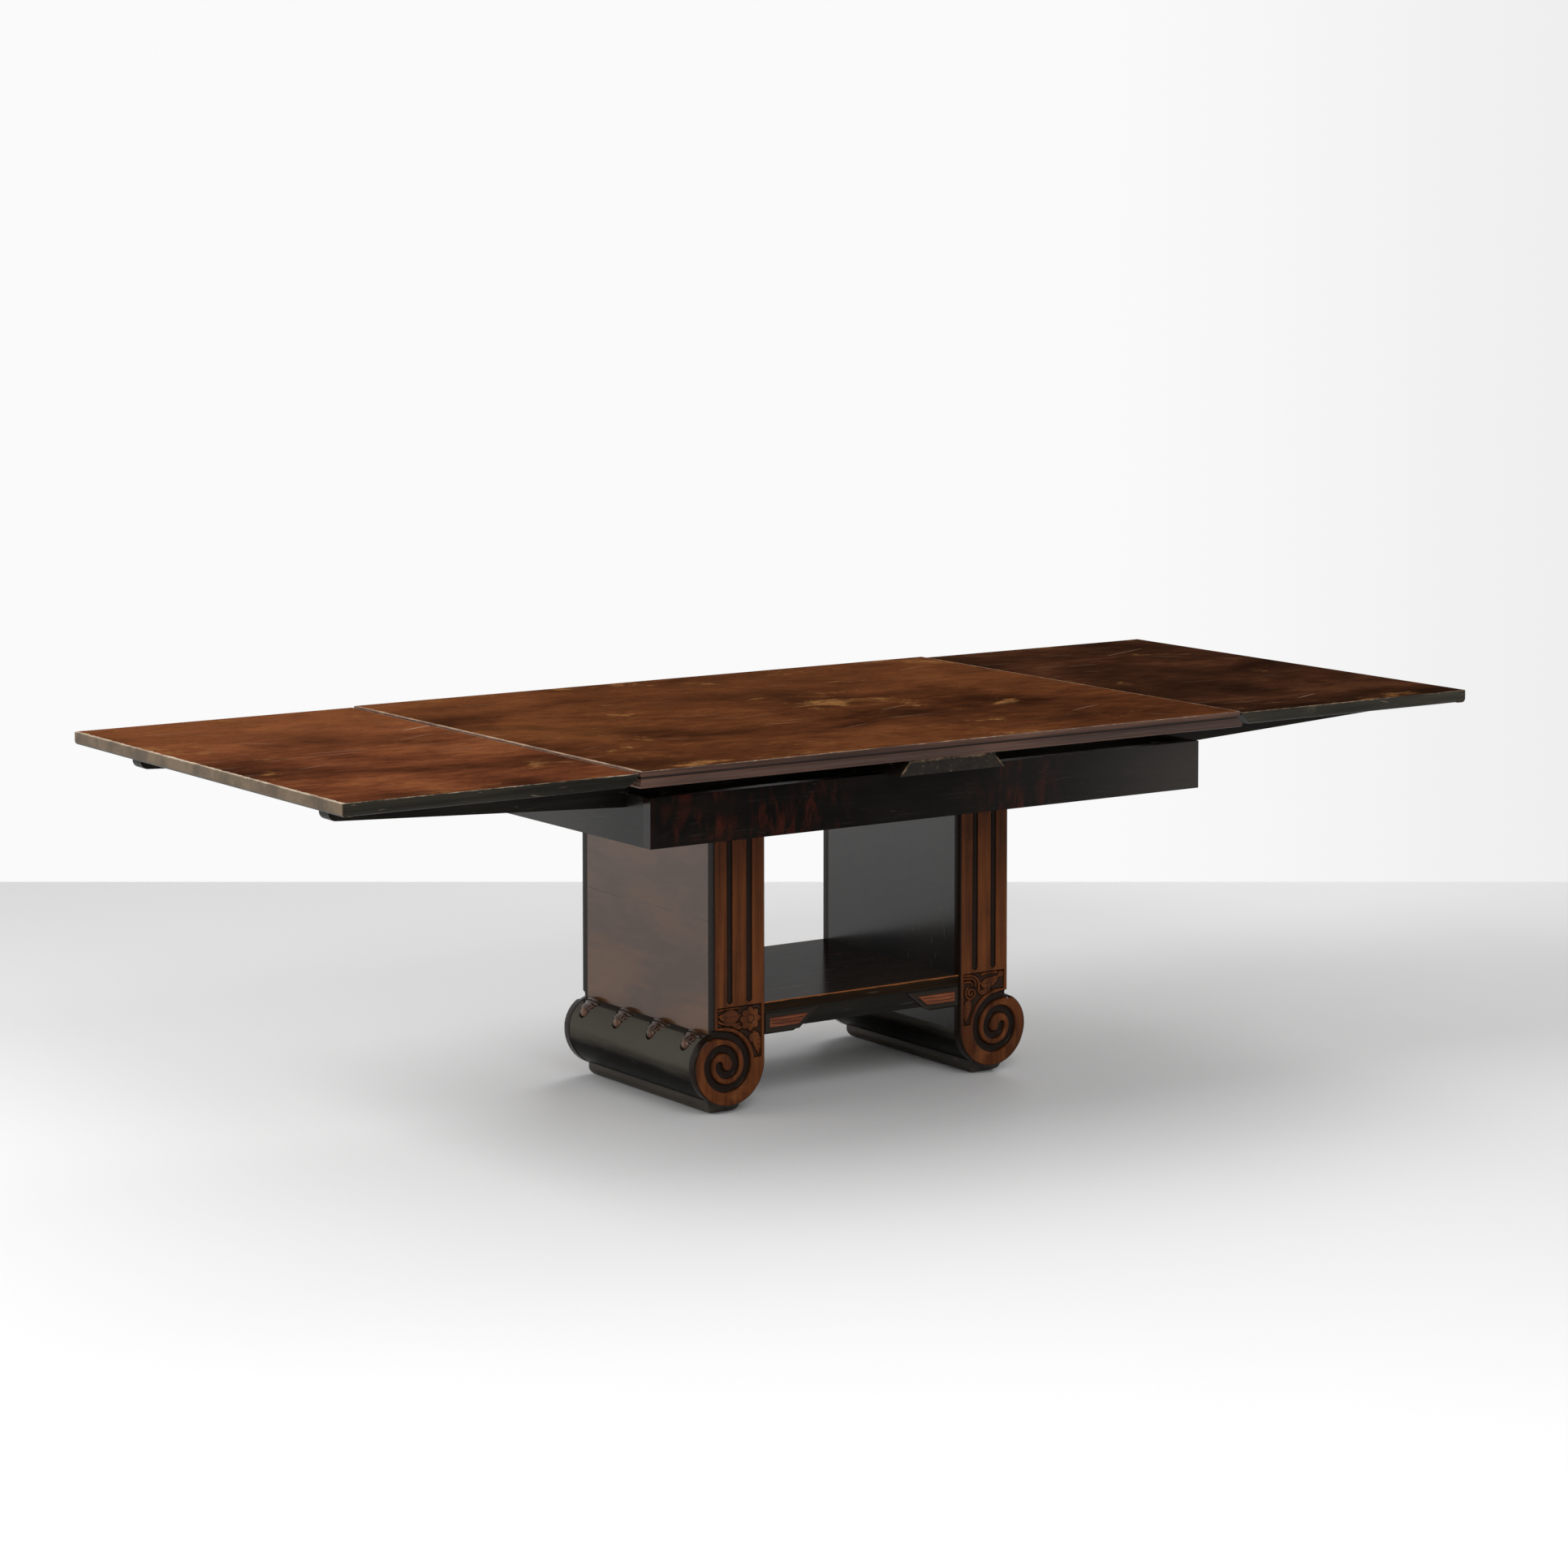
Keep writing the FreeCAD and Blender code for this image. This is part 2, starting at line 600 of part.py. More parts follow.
def drop(y, margin=0.0):
    """A bud under a cap that lies along the barrel's shoulder. A margin makes it larger all round."""
    lean = math.radians(DROP_ANGLE)
    along = V(math.sin(lean), 0, -math.cos(lean))
    length = DROP_CAP_LENGTH + DROP_CUP_LENGTH
    x, z = circle_point(CURL_X, VOLUTE_Z, CURL_RADIUS - DROP_SINK, DROP_ANGLE)
    top = V(x, y, z) - along * (length / 2)
    cup = top + along * DROP_CAP_LENGTH
    tip = cup + along * DROP_CUP_LENGTH
    pieces = [
        Part.makeCone(DROP_CAP_RADIUS + margin, DROP_CUP_RADIUS + margin, DROP_CAP_LENGTH, top, along),
        Part.makeCone(DROP_CUP_RADIUS + margin, DROP_TIP_RADIUS + margin, DROP_CUP_LENGTH, cup, along),
        Part.makeSphere(DROP_TIP_RADIUS + margin, tip),
    ]
    slab = box((PEDESTAL_INNER, PEDESTAL_OUTER), (STILE_FRONT, -STILE_FRONT), (VOLUTE_Z, FRAME_BOTTOM))
    blank = barrel_core(CURL_RADIUS + DROP_PROUD + margin)
    return pieces[0].fuse(pieces[1:]).removeSplitter().cut(slab).common(blank)


def niche(y):
    """The shallow bay in the barrel's surface round a drop ornament."""
    return drop(y, NICHE_MARGIN).cut(barrel_core(CURL_RADIUS - NICHE_DEPTH))


def foot_runner(stiles, barrel):
    """A keel under the scroll along the whole depth, rounded below and hollowed to what stands on it."""
    end = PEDESTAL_DEPTH / 2 - FOOT_SETBACK
    half = FOOT_WIDTH / 2
    blank = box((BOWL_X - half, BOWL_X + half), (-end, end), (0, FOOT_HEIGHT + FOOT_RISE))
    base = [edge for edge in blank.Edges if edge.BoundBox.ZMax < FOOT_HEIGHT / 2]
    return blank.makeFillet(FOOT_ROUND, base).cut(stiles + [barrel])


def pedestal_nodes(side):
    """The pedestal at +X, mirrored for the left side."""
    panel_y, high = (-PANEL_SIDE, PANEL_SIDE), (VOLUTE_Z, FRAME_BOTTOM)
    block_x = (PEDESTAL_INNER + PANEL_THICKNESS, PEDESTAL_OUTER - PANEL_THICKNESS)
    levels = [(FRAME_BOTTOM - TOP_BLOCK_HEIGHT, FRAME_BOTTOM), (VOLUTE_Z, VOLUTE_Z + BOTTOM_BLOCK_HEIGHT)]
    blocks = [box(block_x, panel_y, level) for level in levels]
    start = -(DROP_COUNT - 1) / 2 * DROP_SPACING
    drops = [drop(start + k * DROP_SPACING) for k in range(DROP_COUNT)]
    niches = [niche(start + k * DROP_SPACING) for k in range(DROP_COUNT)]
    front = stile()
    barrel = scroll_outline(BARREL_INSET, panel_y, VOLUTE_Z).cut(drops + niches)
    nodes = {
        "pedestal_outer_panel": box((block_x[1], PEDESTAL_OUTER), panel_y, high),
        "pedestal_inner_panel": box((PEDESTAL_INNER, block_x[0]), panel_y, high),
        "pedestal_blocks": group(block.cut(cap_screws()) for block in blocks),
        "front_stile": front,
        "rear_stile": mirror_y(front),
        "scroll_barrel": barrel,
        "drop_ornaments": group(drops),
        "foot_runner": foot_runner([front, mirror_y(front)], barrel),
    }
    if side == "left":
        nodes = {name: mirror_x(shape) for name, shape in nodes.items()}
    return {f"{side}_{name}": shape for name, shape in nodes.items()}


# Shelf


def fascia():
    """The front board under the shelf, deeper at both ends."""
    half, low = PEDESTAL_INNER, FASCIA_BOTTOM - FASCIA_END_DROP
    step, slope = half - FASCIA_END_LENGTH, half - FASCIA_END_LENGTH - FASCIA_SLOPE
    return front_prism(
        (SHELF_FRONT, SHELF_FRONT + FASCIA_THICKNESS),
        (-half, SHELF_UNDERSIDE),
        (-half, low),
        (-step, low),
        (-slope, FASCIA_BOTTOM),
        (slope, FASCIA_BOTTOM),
        (step, low),
        (half, low),
        (half, SHELF_UNDERSIDE),
    )


def trapezoid(y, margin):
    """A tablet at the fascia's +X end, longer at the top, drawn in by a margin on every side."""
    outer, inner = PEDESTAL_INNER - margin, PEDESTAL_INNER - FRAME_LENGTH + margin
    low, high = FASCIA_BOTTOM - FASCIA_END_DROP + margin, SHELF_UNDERSIDE - margin
    slope = FRAME_SLOPE * (high - low) / (FASCIA_HEIGHT + FASCIA_END_DROP)
    return front_prism(y, (outer, high), (outer, low), (inner + slope, low), (inner, high))


def carved_inset():
    """A framed tablet with a raised carved field, on the fascia's face at +X."""
    face = SHELF_FRONT - FRAME_RISE
    frame = trapezoid((face, SHELF_FRONT), FRAME_MARGIN)
    field = trapezoid((face - INSET_RISE, face), FRAME_MARGIN + INSET_MARGIN)
    return frame.fuse(field).removeSplitter()


def cleat_screws():
    x, low = PEDESTAL_INNER - CLEAT_SIZE / 2, SHELF_UNDERSIDE - CLEAT_SIZE
    spots = [(side * x, k * CLEAT_SCREW_SPACING) for side in (-1, 1) for k in (-1, 0, 1)]
    return [screw(*spot, low, CLEAT_SCREW_LENGTH, -1) for spot in spots]


def shelf_nodes():
    screws = cleat_screws()
    half_depth = PEDESTAL_DEPTH / 2 - SHELF_SETBACK
    shelf_x = (-PEDESTAL_INNER, PEDESTAL_INNER)
    board = box(shelf_x, (-half_depth, half_depth), (SHELF_UNDERSIDE, SHELF_TOP)).cut(screws)
    run = PANEL_SIDE - CLEAT_MARGIN
    cleat_x = (PEDESTAL_INNER - CLEAT_SIZE, PEDESTAL_INNER)
    cleat = box(cleat_x, (-run, run), (SHELF_UNDERSIDE - CLEAT_SIZE, SHELF_UNDERSIDE)).cut(screws)
    insets = [carved_inset(), mirror_x(carved_inset())]
    return {
        "shelf_board": board,
        "shelf_front_fascia": fascia(),
        "shelf_rear_fascia": mirror_y(fascia()),
        "shelf_front_insets": group(insets),
        "shelf_rear_insets": group(mirror_y(inset) for inset in insets),
        "shelf_cleats": group([cleat, mirror_x(cleat)]),
        "shelf_screws": group(screws),
    }


def main():
    nodes = {
        **frame_nodes(),
        **pedestal_nodes("left"),
        **pedestal_nodes("right"),
        **shelf_nodes(),
        **top_nodes(),
        **leaf_nodes("left", LEFT_BEARER_Y),
        **leaf_nodes("right", RIGHT_BEARER_Y),
    }
    os.makedirs("parts", exist_ok=True)
    for name, shape in nodes.items():
        shape.exportStep(f"parts/{name}.step")


main()
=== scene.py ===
"""Looks of a draw-leaf table with scrolled pedestals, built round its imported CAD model."""

import json
import logging
import math
from dataclasses import dataclass
from enum import Enum
from typing import Any, Callable, ClassVar, Optional, Sequence, Union

import bmesh
import bpy
import numpy as np
from mathutils import Euler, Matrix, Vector

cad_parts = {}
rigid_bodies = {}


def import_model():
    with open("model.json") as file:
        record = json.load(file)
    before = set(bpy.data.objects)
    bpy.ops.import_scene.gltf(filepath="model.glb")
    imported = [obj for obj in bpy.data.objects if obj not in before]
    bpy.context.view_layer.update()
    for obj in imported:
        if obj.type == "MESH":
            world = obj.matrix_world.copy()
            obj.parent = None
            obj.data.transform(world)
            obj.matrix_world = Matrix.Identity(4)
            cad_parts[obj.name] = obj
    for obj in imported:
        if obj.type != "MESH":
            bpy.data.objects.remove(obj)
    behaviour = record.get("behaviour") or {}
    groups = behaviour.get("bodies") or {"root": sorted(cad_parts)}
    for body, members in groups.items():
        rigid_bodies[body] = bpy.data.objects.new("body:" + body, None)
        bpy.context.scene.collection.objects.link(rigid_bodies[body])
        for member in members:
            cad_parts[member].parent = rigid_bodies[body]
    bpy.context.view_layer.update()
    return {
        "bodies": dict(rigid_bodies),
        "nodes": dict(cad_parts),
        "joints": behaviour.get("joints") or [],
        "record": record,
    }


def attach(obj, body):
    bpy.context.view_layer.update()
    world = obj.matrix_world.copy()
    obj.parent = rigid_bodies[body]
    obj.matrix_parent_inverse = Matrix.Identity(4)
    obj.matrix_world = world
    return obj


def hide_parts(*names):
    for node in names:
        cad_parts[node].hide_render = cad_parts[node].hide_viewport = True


log = logging.getLogger("table")

Colour = tuple[float, float, float, float]
Field = Callable[[np.ndarray, np.ndarray], np.ndarray]
Relief = Callable[[np.ndarray, np.ndarray], tuple[np.ndarray, np.ndarray]]
Value = Union[float, Sequence[float], "Term"]
Stops = tuple[tuple[float, Colour], ...]
Point = tuple[float, float]
Stroke = tuple[Callable[..., np.ndarray], Point, Point, Point, float, float]

MM = 1000  # millimetres in a metre


def tone(red: float, green: float, blue: float) -> Colour:
    """A linear colour from its display values.

    Args:
        red: Red, from 0 to 255.
        green: Green, from 0 to 255.
        blue: Blue, from 0 to 255.

    Returns:
        The opaque colour.
    """
    parts = (value / 255 for value in (red, green, blue))
    return (*(part / 12.92 if part <= 0.04045 else ((part + 0.055) / 1.055) ** 2.4 for part in parts), 1.0)


def shades(*colours: tuple[int, int, int]) -> Stops:
    """Display colours spread evenly along a ramp."""
    return tuple((index / (len(colours) - 1), tone(*colour)) for index, colour in enumerate(colours))


class Side(Enum):
    """The two ends of the table, with the sign of their X."""

    LEFT = -1
    RIGHT = 1

    @property
    def word(self) -> str:
        """The word that starts the names of this side's pieces."""
        return self.name.lower()


class Axis(Enum):
    """The direction that a wood's grain runs in."""

    X = 0
    Y = 1
    Z = 2


class Carving(Enum):
    """The two ornaments in the sunk fields above the volutes."""

    FLOWER = "flower"
    SCROLL = "scroll"


# Node maths


class Term:
    """A node's output socket that takes part in Python arithmetic."""

    def __init__(self, recipe: "Recipe", socket: bpy.types.NodeSocket) -> None:
        """Keeps the tree and the socket."""
        self.recipe = recipe
        self.socket = socket

    def _math(self, operation: str, first: Value, second: Value = 0.0) -> "Term":
        """A Math node on two values."""
        return self.recipe.node("ShaderNodeMath", {"operation": operation}, {0: first, 1: second})

    def __add__(self, other: Value) -> "Term":
        """This value plus another."""
        return self._math("ADD", self, other)

    def __sub__(self, other: Value) -> "Term":
        """This value less another."""
        return self._math("SUBTRACT", self, other)

    def __rsub__(self, other: Value) -> "Term":
        """Another value less this one."""
        return self._math("SUBTRACT", other, self)

    def __mul__(self, other: Value) -> "Term":
        """This value times another."""
        return self._math("MULTIPLY", self, other)

    def __or__(self, other: Value) -> "Term":
        """The larger of this value and another."""
        return self._math("MAXIMUM", self, other)

    def __abs__(self) -> "Term":
        """This value without its sign."""
        return self._math("ABSOLUTE", self)

    __radd__ = __add__
    __rmul__ = __mul__
    __ror__ = __or__

    def rise(self, low: float, high: float) -> "Term":
        """A smooth step of this value from 0 at low to 1 at high; low may be the larger."""
        limits = {"Value": self, "From Min": low, "From Max": high}
        return self.recipe.node("ShaderNodeMapRange", {"interpolation_type": "SMOOTHSTEP"}, limits)


class Recipe:
    """A node tree and the parts that a finish is mixed from."""

    def __init__(self, tree: bpy.types.NodeTree) -> None:
        """Empties the tree of a material, of the world or of a modifier."""
        self.tree = tree
        self.tree.nodes.clear()

    def add(self, kind: str, settings: dict[str, Any], sockets: dict[Any, Any]) -> bpy.types.Node:
        """Adds a node, with its settings set before its sockets.

        Args:
            kind: The node's type.
            settings: Its own settings, and "stops" for the stops of a colour ramp.
            sockets: Values, terms or lists of terms, by the input's number, identifier or name.

        Returns:
            The node.
        """
        node = self.tree.nodes.new(kind)
        for key, value in settings.items():
            if key == "stops":
                self._set_stops(node.color_ramp, value)
            else:
                setattr(node, key, value)
        for key, value in sockets.items():
            socket = self._socket(node, key)
            terms = [value] if isinstance(value, Term) else value
            if isinstance(terms, list):
                for term in terms:
                    self.tree.links.new(term.socket, socket)
            else:
                socket.default_value = value
        return node

    def node(self, kind: str, settings: dict[str, Any], sockets: dict[Any, Any], output: Any = 0) -> Term:
        """The output of a new node, by its number or name."""
        return Term(self, self.add(kind, settings, sockets).outputs[output])

    @staticmethod
    def _set_stops(ramp: bpy.types.ColorRamp, stops: Stops) -> None:
        """Puts a ramp's stops in place.

        Args:
            ramp: The ramp.
            stops: A place from 0 to 1 and a colour for each stop.
        """
        while len(ramp.elements) < len(stops):
            ramp.elements.new(1.0)
        for element, (place, colour) in zip(ramp.elements, stops):
            element.position = place
            element.color = colour

    @staticmethod
    def _socket(node: bpy.types.Node, key: Any) -> bpy.types.NodeSocket:
        """An input by its number, or by its identifier before its name."""
        named = {socket.identifier: socket for socket in node.inputs}
        return named[key] if key in named else node.inputs[key]

    def place(self) -> Term:
        """Object coordinates, in metres."""
        return self.node("ShaderNodeTexCoord", {}, {}, "Object")

    def axes(self) -> tuple[Term, Term, Term]:
        """X, Y and Z of the object coordinates."""
        split = self.add("ShaderNodeSeparateXYZ", {}, {0: self.place()})
        return tuple(Term(self, socket) for socket in split.outputs)

    def along(self, way: Sequence[float], place: Term) -> Term:
        """How far a place lies along a direction."""
        inputs = {0: place, 1: tuple(way)}
        return self.node("ShaderNodeVectorMath", {"operation": "DOT_PRODUCT"}, inputs, "Value")

    def noise(self, scale: Sequence[float], seed: float, detail: float = 4.0, rough: float = 0.55,
              warp: float = 0.0) -> Term:
        """A noise with its own scale along each axis.

        Args:
            scale: Features per metre along X, Y and Z.
            seed: How far the pattern is moved.
            detail: Octaves.
            rough: Weight of the finer octaves.
            warp: Distortion.

        Returns:
            A value from 0 to 1, mostly between 0.3 and 0.7.
        """
        place = self.node("ShaderNodeVectorMath", {"operation": "MULTIPLY_ADD"},
                          {0: self.place(), 1: tuple(scale), 2: (seed, seed * 1.7, seed * 2.3)})
        return self.node("ShaderNodeTexNoise", {"noise_dimensions": "3D"}, {
            "Vector": place, "Scale": 1.0, "Detail": detail, "Roughness": rough, "Distortion": warp})

    def lines(self, turn: Sequence[float], scale: Sequence[float], seed: float, low: float,
              high: float) -> Term:
        """Thin broken lines, as scratches lie.

        Args:
            turn: Angles about X, Y and Z, in degrees.
            scale: Features per metre along X, Y and Z before the turn.
            seed: How far the pattern is moved.
            low: Noise value where a line starts to show.
            high: Noise value where a line is full.

        Returns:
            A mask from 0 to 1.
        """
        angles = tuple(math.radians(angle) for angle in turn)
        turned = self.node("ShaderNodeMapping", {}, {"Vector": self.place(), "Rotation": angles})
        place = self.node("ShaderNodeVectorMath", {"operation": "MULTIPLY_ADD"},
                          {0: turned, 1: tuple(scale), 2: (seed, seed * 2.1, seed)})
        fibre = self.node("ShaderNodeTexNoise", {}, {"Vector": place, "Scale": 1.0, "Detail": 1.0})
        return fibre.rise(low, high)

    def ramp(self, factor: Term, stops: Stops) -> Term:
        """A colour along a ramp."""
        return self.node("ShaderNodeValToRGB", {"stops": stops}, {0: factor})

    def mix(self, first: Value, second: Value, factor: Value) -> Term:
        """One colour turning into another."""
        return self.node("ShaderNodeMix", {"data_type": "RGBA"},
                         {"Factor_Float": factor, "A_Color": first, "B_Color": second}, 2)

    def end(self, kind: str, shader: Term) -> None:
        """Links a shader to the tree's output node."""
        self.add(kind, {}, {"Surface": shader})


@dataclass
class Look:
    """What a finish shows at each point."""

    colour: Term
    roughness: Term
    height: Term

    def stained(self, colour: Colour, mask: Term, rougher: float = 0.0) -> "Look":
        """This look with a plain colour laid over it where the mask is 1."""
        mixed = self.colour.recipe.mix(self.colour, colour, mask)
        return Look(mixed, self.roughness + mask * rougher, self.height)


# Finishes


@dataclass(frozen=True)
class Finish:
    """A surface finish: a name, its gloss and what it shows."""

    name: str
    specular: float = 0.5
    bump: float = 0.0004

    def look(self, recipe: Recipe) -> Look:
        """What this finish shows; each kind has its own."""
        raise NotImplementedError

    def surface(self, recipe: Recipe, look: Look) -> Term:
        """The shader of a look with this finish's gloss and grain depth."""
        normal = recipe.node("ShaderNodeBump", {}, {
            "Height": look.height, "Distance": self.bump, "Strength": 1.0})
        return recipe.node("ShaderNodeBsdfPrincipled", {}, {
            "Base Color": look.colour, "Roughness": look.roughness, "Normal": normal,
            "Specular IOR Level": self.specular})

    def shader(self, recipe: Recipe) -> Term:
        """The whole shader; a finish of two parts mixes its own."""
        return self.surface(recipe, self.look(recipe))

    def make(self) -> bpy.types.Material:
        """Builds the material.

        Returns:
            The material.
        """
        material = bpy.data.materials.new(self.name)
        material.use_nodes = True
        recipe = Recipe(material.node_tree)
        recipe.end("ShaderNodeOutputMaterial", self.shader(recipe))
        return material


@dataclass(frozen=True)
class Wood(Finish):
    """Wood or veneer with streaks along its grain and broad clouds of colour."""

    stops: Stops = ()
    grain: Axis = Axis.X
    streaks: float = 34.0
    stretch: float = 18.0
    clouds: float = 3.0
    cloud_stretch: float = 2.2
    seed: float = 0.0
    roughness: float = 0.4
    uneven: float = 0.15
    figure: float = 0.5
    open_pores: float = 1.0

    def scales(self, across: float, stretch: float) -> tuple[float, float, float]:
        """Noise scales that are stretched along the grain."""
        return tuple(across / stretch if axis == self.grain.value else across for axis in range(3))

    def tilts(self, angle: float) -> tuple[float, float, float]:
        """Turns that tilt a line out of the grain by an angle on both of its faces."""
        return tuple(0.0 if axis == self.grain.value else angle for axis in range(3))

    def look(self, recipe: Recipe) -> Look:
        """Streaks and clouds through the ramp, with open pores along the grain.

        Args:
            recipe: The material's recipe.

        Returns:
            The look.
        """
        streak = recipe.noise(self.scales(self.streaks, self.stretch), self.seed, 6.0, 0.6)
        fibre = recipe.noise(self.scales(self.streaks * 9, self.stretch * 4), self.seed + 3.1, 3.0)
        cloud = recipe.noise(self.scales(self.clouds, self.cloud_stretch), self.seed + 7.7, 3.0, 0.5, 0.6)
        shade = (streak * self.figure + cloud * (0.85 - self.figure) + fibre * 0.15).rise(0.34, 0.66)
        pores = fibre.rise(0.62, 0.74) * self.open_pores
        colour = recipe.ramp(shade, self.stops)
        gloss = self.roughness + (cloud - 0.5) * self.uneven + pores * 0.08
        return Look(colour, gloss, fibre * 0.5 - pores * 0.6)


@dataclass(frozen=True)
class Lacquer(Wood):
    """Dark polish over wood, rubbed through in places and finely scratched."""

    rubbed: Colour = tone(96, 62, 38)
    rub: float = 0.5
    scratch: Colour = tone(132, 122, 104)
    scratches: float = 0.4

    def look(self, recipe: Recipe) -> Look:
        """The dark wood with rubbed places and scratches over it.

        Args:
            recipe: The material's recipe.

        Returns:
            The look.
        """
        base = Wood.look(self, recipe)
        cloud = recipe.noise((9, 9, 9), self.seed + 11.0, 5.0, 0.62)
        worn = cloud.rise(0.62, 0.76) * self.rub
        marks = recipe.lines(self.tilts(4), self.scales(150, 30), self.seed + 2.0, 0.70, 0.76) | recipe.lines(
            self.tilts(-9), self.scales(170, 24), self.seed + 5.0, 0.71, 0.77)
        return base.stained(self.rubbed, worn, 0.15).stained(self.scratch, marks * self.scratches, 0.1)


@dataclass(frozen=True)
class FlameVeneer(Lacquer):
    """Near-black veneer in which red-brown flames show, bloomed grey at its right end."""

    flame: Colour = tone(88, 30, 18)
    flame_seed: float = 0.0
    flames: tuple[tuple[float, float], ...] = ((-0.45, 0.30), (0.20, 0.16))
    bloom: Colour = tone(66, 60, 54)
    bloomed: tuple[float, float] = (0.28, 0.74)

    def look(self, recipe: Recipe) -> Look:
        """Dark veneer with upright flames in two places, each a middle and a half length along X.

        Args:
            recipe: The material's recipe.

        Returns:
            The look.
        """
        x, _, _ = recipe.axes()
        base = Lacquer.look(self, recipe)
        first, second = (abs(x - middle).rise(half, half * 0.2) for middle, half in self.flames)
        tongue = recipe.noise((20, 20, 7), self.flame_seed + 4.0, 5.0, 0.62, 1.6).rise(0.44, 0.64)
        broken = recipe.noise((7, 7, 12), self.flame_seed + 1.0, 3.0, 0.5, 0.6).rise(0.36, 0.58)
        lit = base.stained(self.flame, (first | second * 0.6) * tongue * broken * 0.65)
        return lit.stained(self.bloom, x.rise(*self.bloomed) * 0.5)


@dataclass(frozen=True)
class WornTop(Finish):
    """A veneered face, worn pale in patches and lightened towards the rear by a painted sheen, over an edge
    finish of its own with painted shade in its groove.
    """

    veneer: Wood = Wood("veneer")
    edge: Wood = Wood("edge")
    level: float = 0.78
    ends: tuple[float, float] = (0.0, 0.75)
    side: float = 0.567
    worn: Colour = tone(146, 102, 60)
    bare: Colour = tone(190, 160, 132)
    stain: Colour = tone(40, 24, 15)
    # Colour and share of a painted sheen that lightens the face towards the rear.
    faded: Colour = tone(134, 80, 48)
    fade: float = 0.25
    patches: float = 0.85
    arris: float = 0.0012
    end_arris: tuple[float, float] = (0.004, 0.003)
    arris_share: float = 0.75
    end_tone: Colour = tone(116, 99, 80)
    end_rub: float = 0.0
    groove: Optional[float] = None
    corner: Optional[tuple[float, float]] = None
    seed: float = 0.0

    def worn_face(self, recipe: Recipe) -> Look:
        """The veneer with dark clouds, mottle, pale worn patches, scratches and a painted sheen towards the
        rear.

        Args:
            recipe: The material's recipe.

        Returns:
            The look.
        """
        x, y, _ = recipe.axes()
        cloud = recipe.noise((2.4, 2.6, 2.6), self.seed + 6.0, 9.0, 0.66, 0.4).rise(0.48, 0.68)
        mottle = recipe.noise((40, 70, 70), self.seed + 7.0, 6.0, 0.74, 0.4).rise(0.48, 0.66)
        patch = recipe.noise((5.0, 5.5, 5.5), self.seed + 1.0, 9.0, 0.72, 0.4)
        streak = recipe.noise((14.0, 80.0, 80.0), self.seed + 2.0, 5.0, 0.66)
        rim = (self.side - abs(y)).rise(0.10, 0.0) * 0.06
        if self.corner is not None:
            away = abs(x - self.corner[0]) * 6.0 + abs(y - self.corner[1]) * 16.0
            rim = rim + away.rise(1.0, 0.3) * 0.16
        worn = (patch + rim + (streak - 0.5) * 0.26).rise(0.59, 0.71) * self.patches
        fine = recipe.lines((0, 0, 4), (3.5, 190, 190), self.seed + 3.0, 0.745, 0.785) | recipe.lines(
            (0, 0, 38), (7, 150, 150), self.seed + 8.0, 0.78, 0.80)
        long = recipe.lines((0, 0, -22), (2.0, 130, 130), self.seed + 4.0, 0.785, 0.80)
        # Painted sheen: the face is lightened towards the rear, where a grazing reflection falls.
        face = self.veneer.look(recipe).stained(self.faded, y.rise(-0.1, self.side) * self.fade)
        face = face.stained(self.stain, (cloud * 0.58) | (mottle * 0.34))
        return face.stained(self.worn, worn, 0.1).stained(self.bare, (fine * 0.3) | (long * 0.6), 0.1)

    def shader(self, recipe: Recipe) -> Term:
        """The worn face with its rubbed arrises, mixed with the edge below it.

        Args:
            recipe: The material's recipe.

        Returns:
            The shader.
        """
        x, y, z = recipe.axes()
        chip = recipe.noise((60, 60, 60), self.seed + 9.0, 3.0) - 0.5
        broken = recipe.noise((13, 13, 13), self.seed + 5.0, 4.0, 0.65).rise(0.36, 0.60)
        left, right = (width * (chip * 1.6 + 1.0) for width in self.end_arris)
        inward = (x - self.ends[0] - left, self.ends[1] - x - right)
        near, far = (gap.rise(0.0006, -0.0004) for gap in inward)
        side = (self.side - abs(y) - chip * self.arris * 3).rise(self.arris, self.arris * 0.4) * broken
        spread = broken * 0.5 + 0.5
        arris = (side | (near | far) * spread) * self.arris_share
        face = self.worn_face(recipe).stained(self.bare, arris, 0.1)
        lip = (self.level - z - chip * 0.004).rise(0.0020, 0.0004) * broken
        rubbed = (x - self.ends[0]).rise(0.003, 0.001) * spread * self.end_rub
        edge = self.edge.look(recipe).stained(self.end_tone, rubbed, 0.1)
        edge = edge.stained(self.bare, lip * self.arris_share * 0.7, 0.1)
        # Painted shade: the moulding's groove is darkened along its level.
        if self.groove is not None:
            edge = edge.stained(self.stain, abs(z - (self.level - self.groove)).rise(0.0034, 0.0016) * 0.9)
        mask = z.rise(self.level - 0.0006, self.level - 0.0002)
        return recipe.node("ShaderNodeMixShader", {}, {
            0: mask, 1: self.edge.surface(recipe, edge), 2: self.surface(recipe, face)})


@dataclass(frozen=True)
class ShoulderPolish(Lacquer):
    """Dark polish, dusty and rubbed grey on the upper shoulder of a barrel, with a painted highlight in the
    dust and a strip of painted shade along its top.
    """

    # Colours of the dust with its painted highlight, and of the painted shade where the barrel meets the
    # panel.
    dust: Colour = tone(92, 88, 79)
    strip: Colour = tone(24, 18, 13)
    low: float = 0.072
    high: float = 0.112
    ledge: float = 0.160

    def look(self, recipe: Recipe) -> Look:
        """The polish with dust and a painted highlight that thicken upwards in streaks, and the strip of
        painted shade.

        Args:
            recipe: The material's recipe.

        Returns:
            The look.
        """
        _, _, z = recipe.axes()
        streak = recipe.noise((60, 5, 60), self.seed + 2.0, 4.0, 0.6)
        # Dust and a painted highlight, thickening upwards in streaks.
        dust = (z + (streak - 0.5) * 0.03).rise(self.low, self.high)
        # Painted shade: a dark strip along the top, where the barrel meets the panel.
        strip = z.rise(self.ledge - 0.001, self.ledge + 0.001)
        dusted_and_lit = Lacquer.look(self, recipe).stained(self.dust, dust * 0.88, 0.06)
        return dusted_and_lit.stained(self.strip, strip * 0.8)


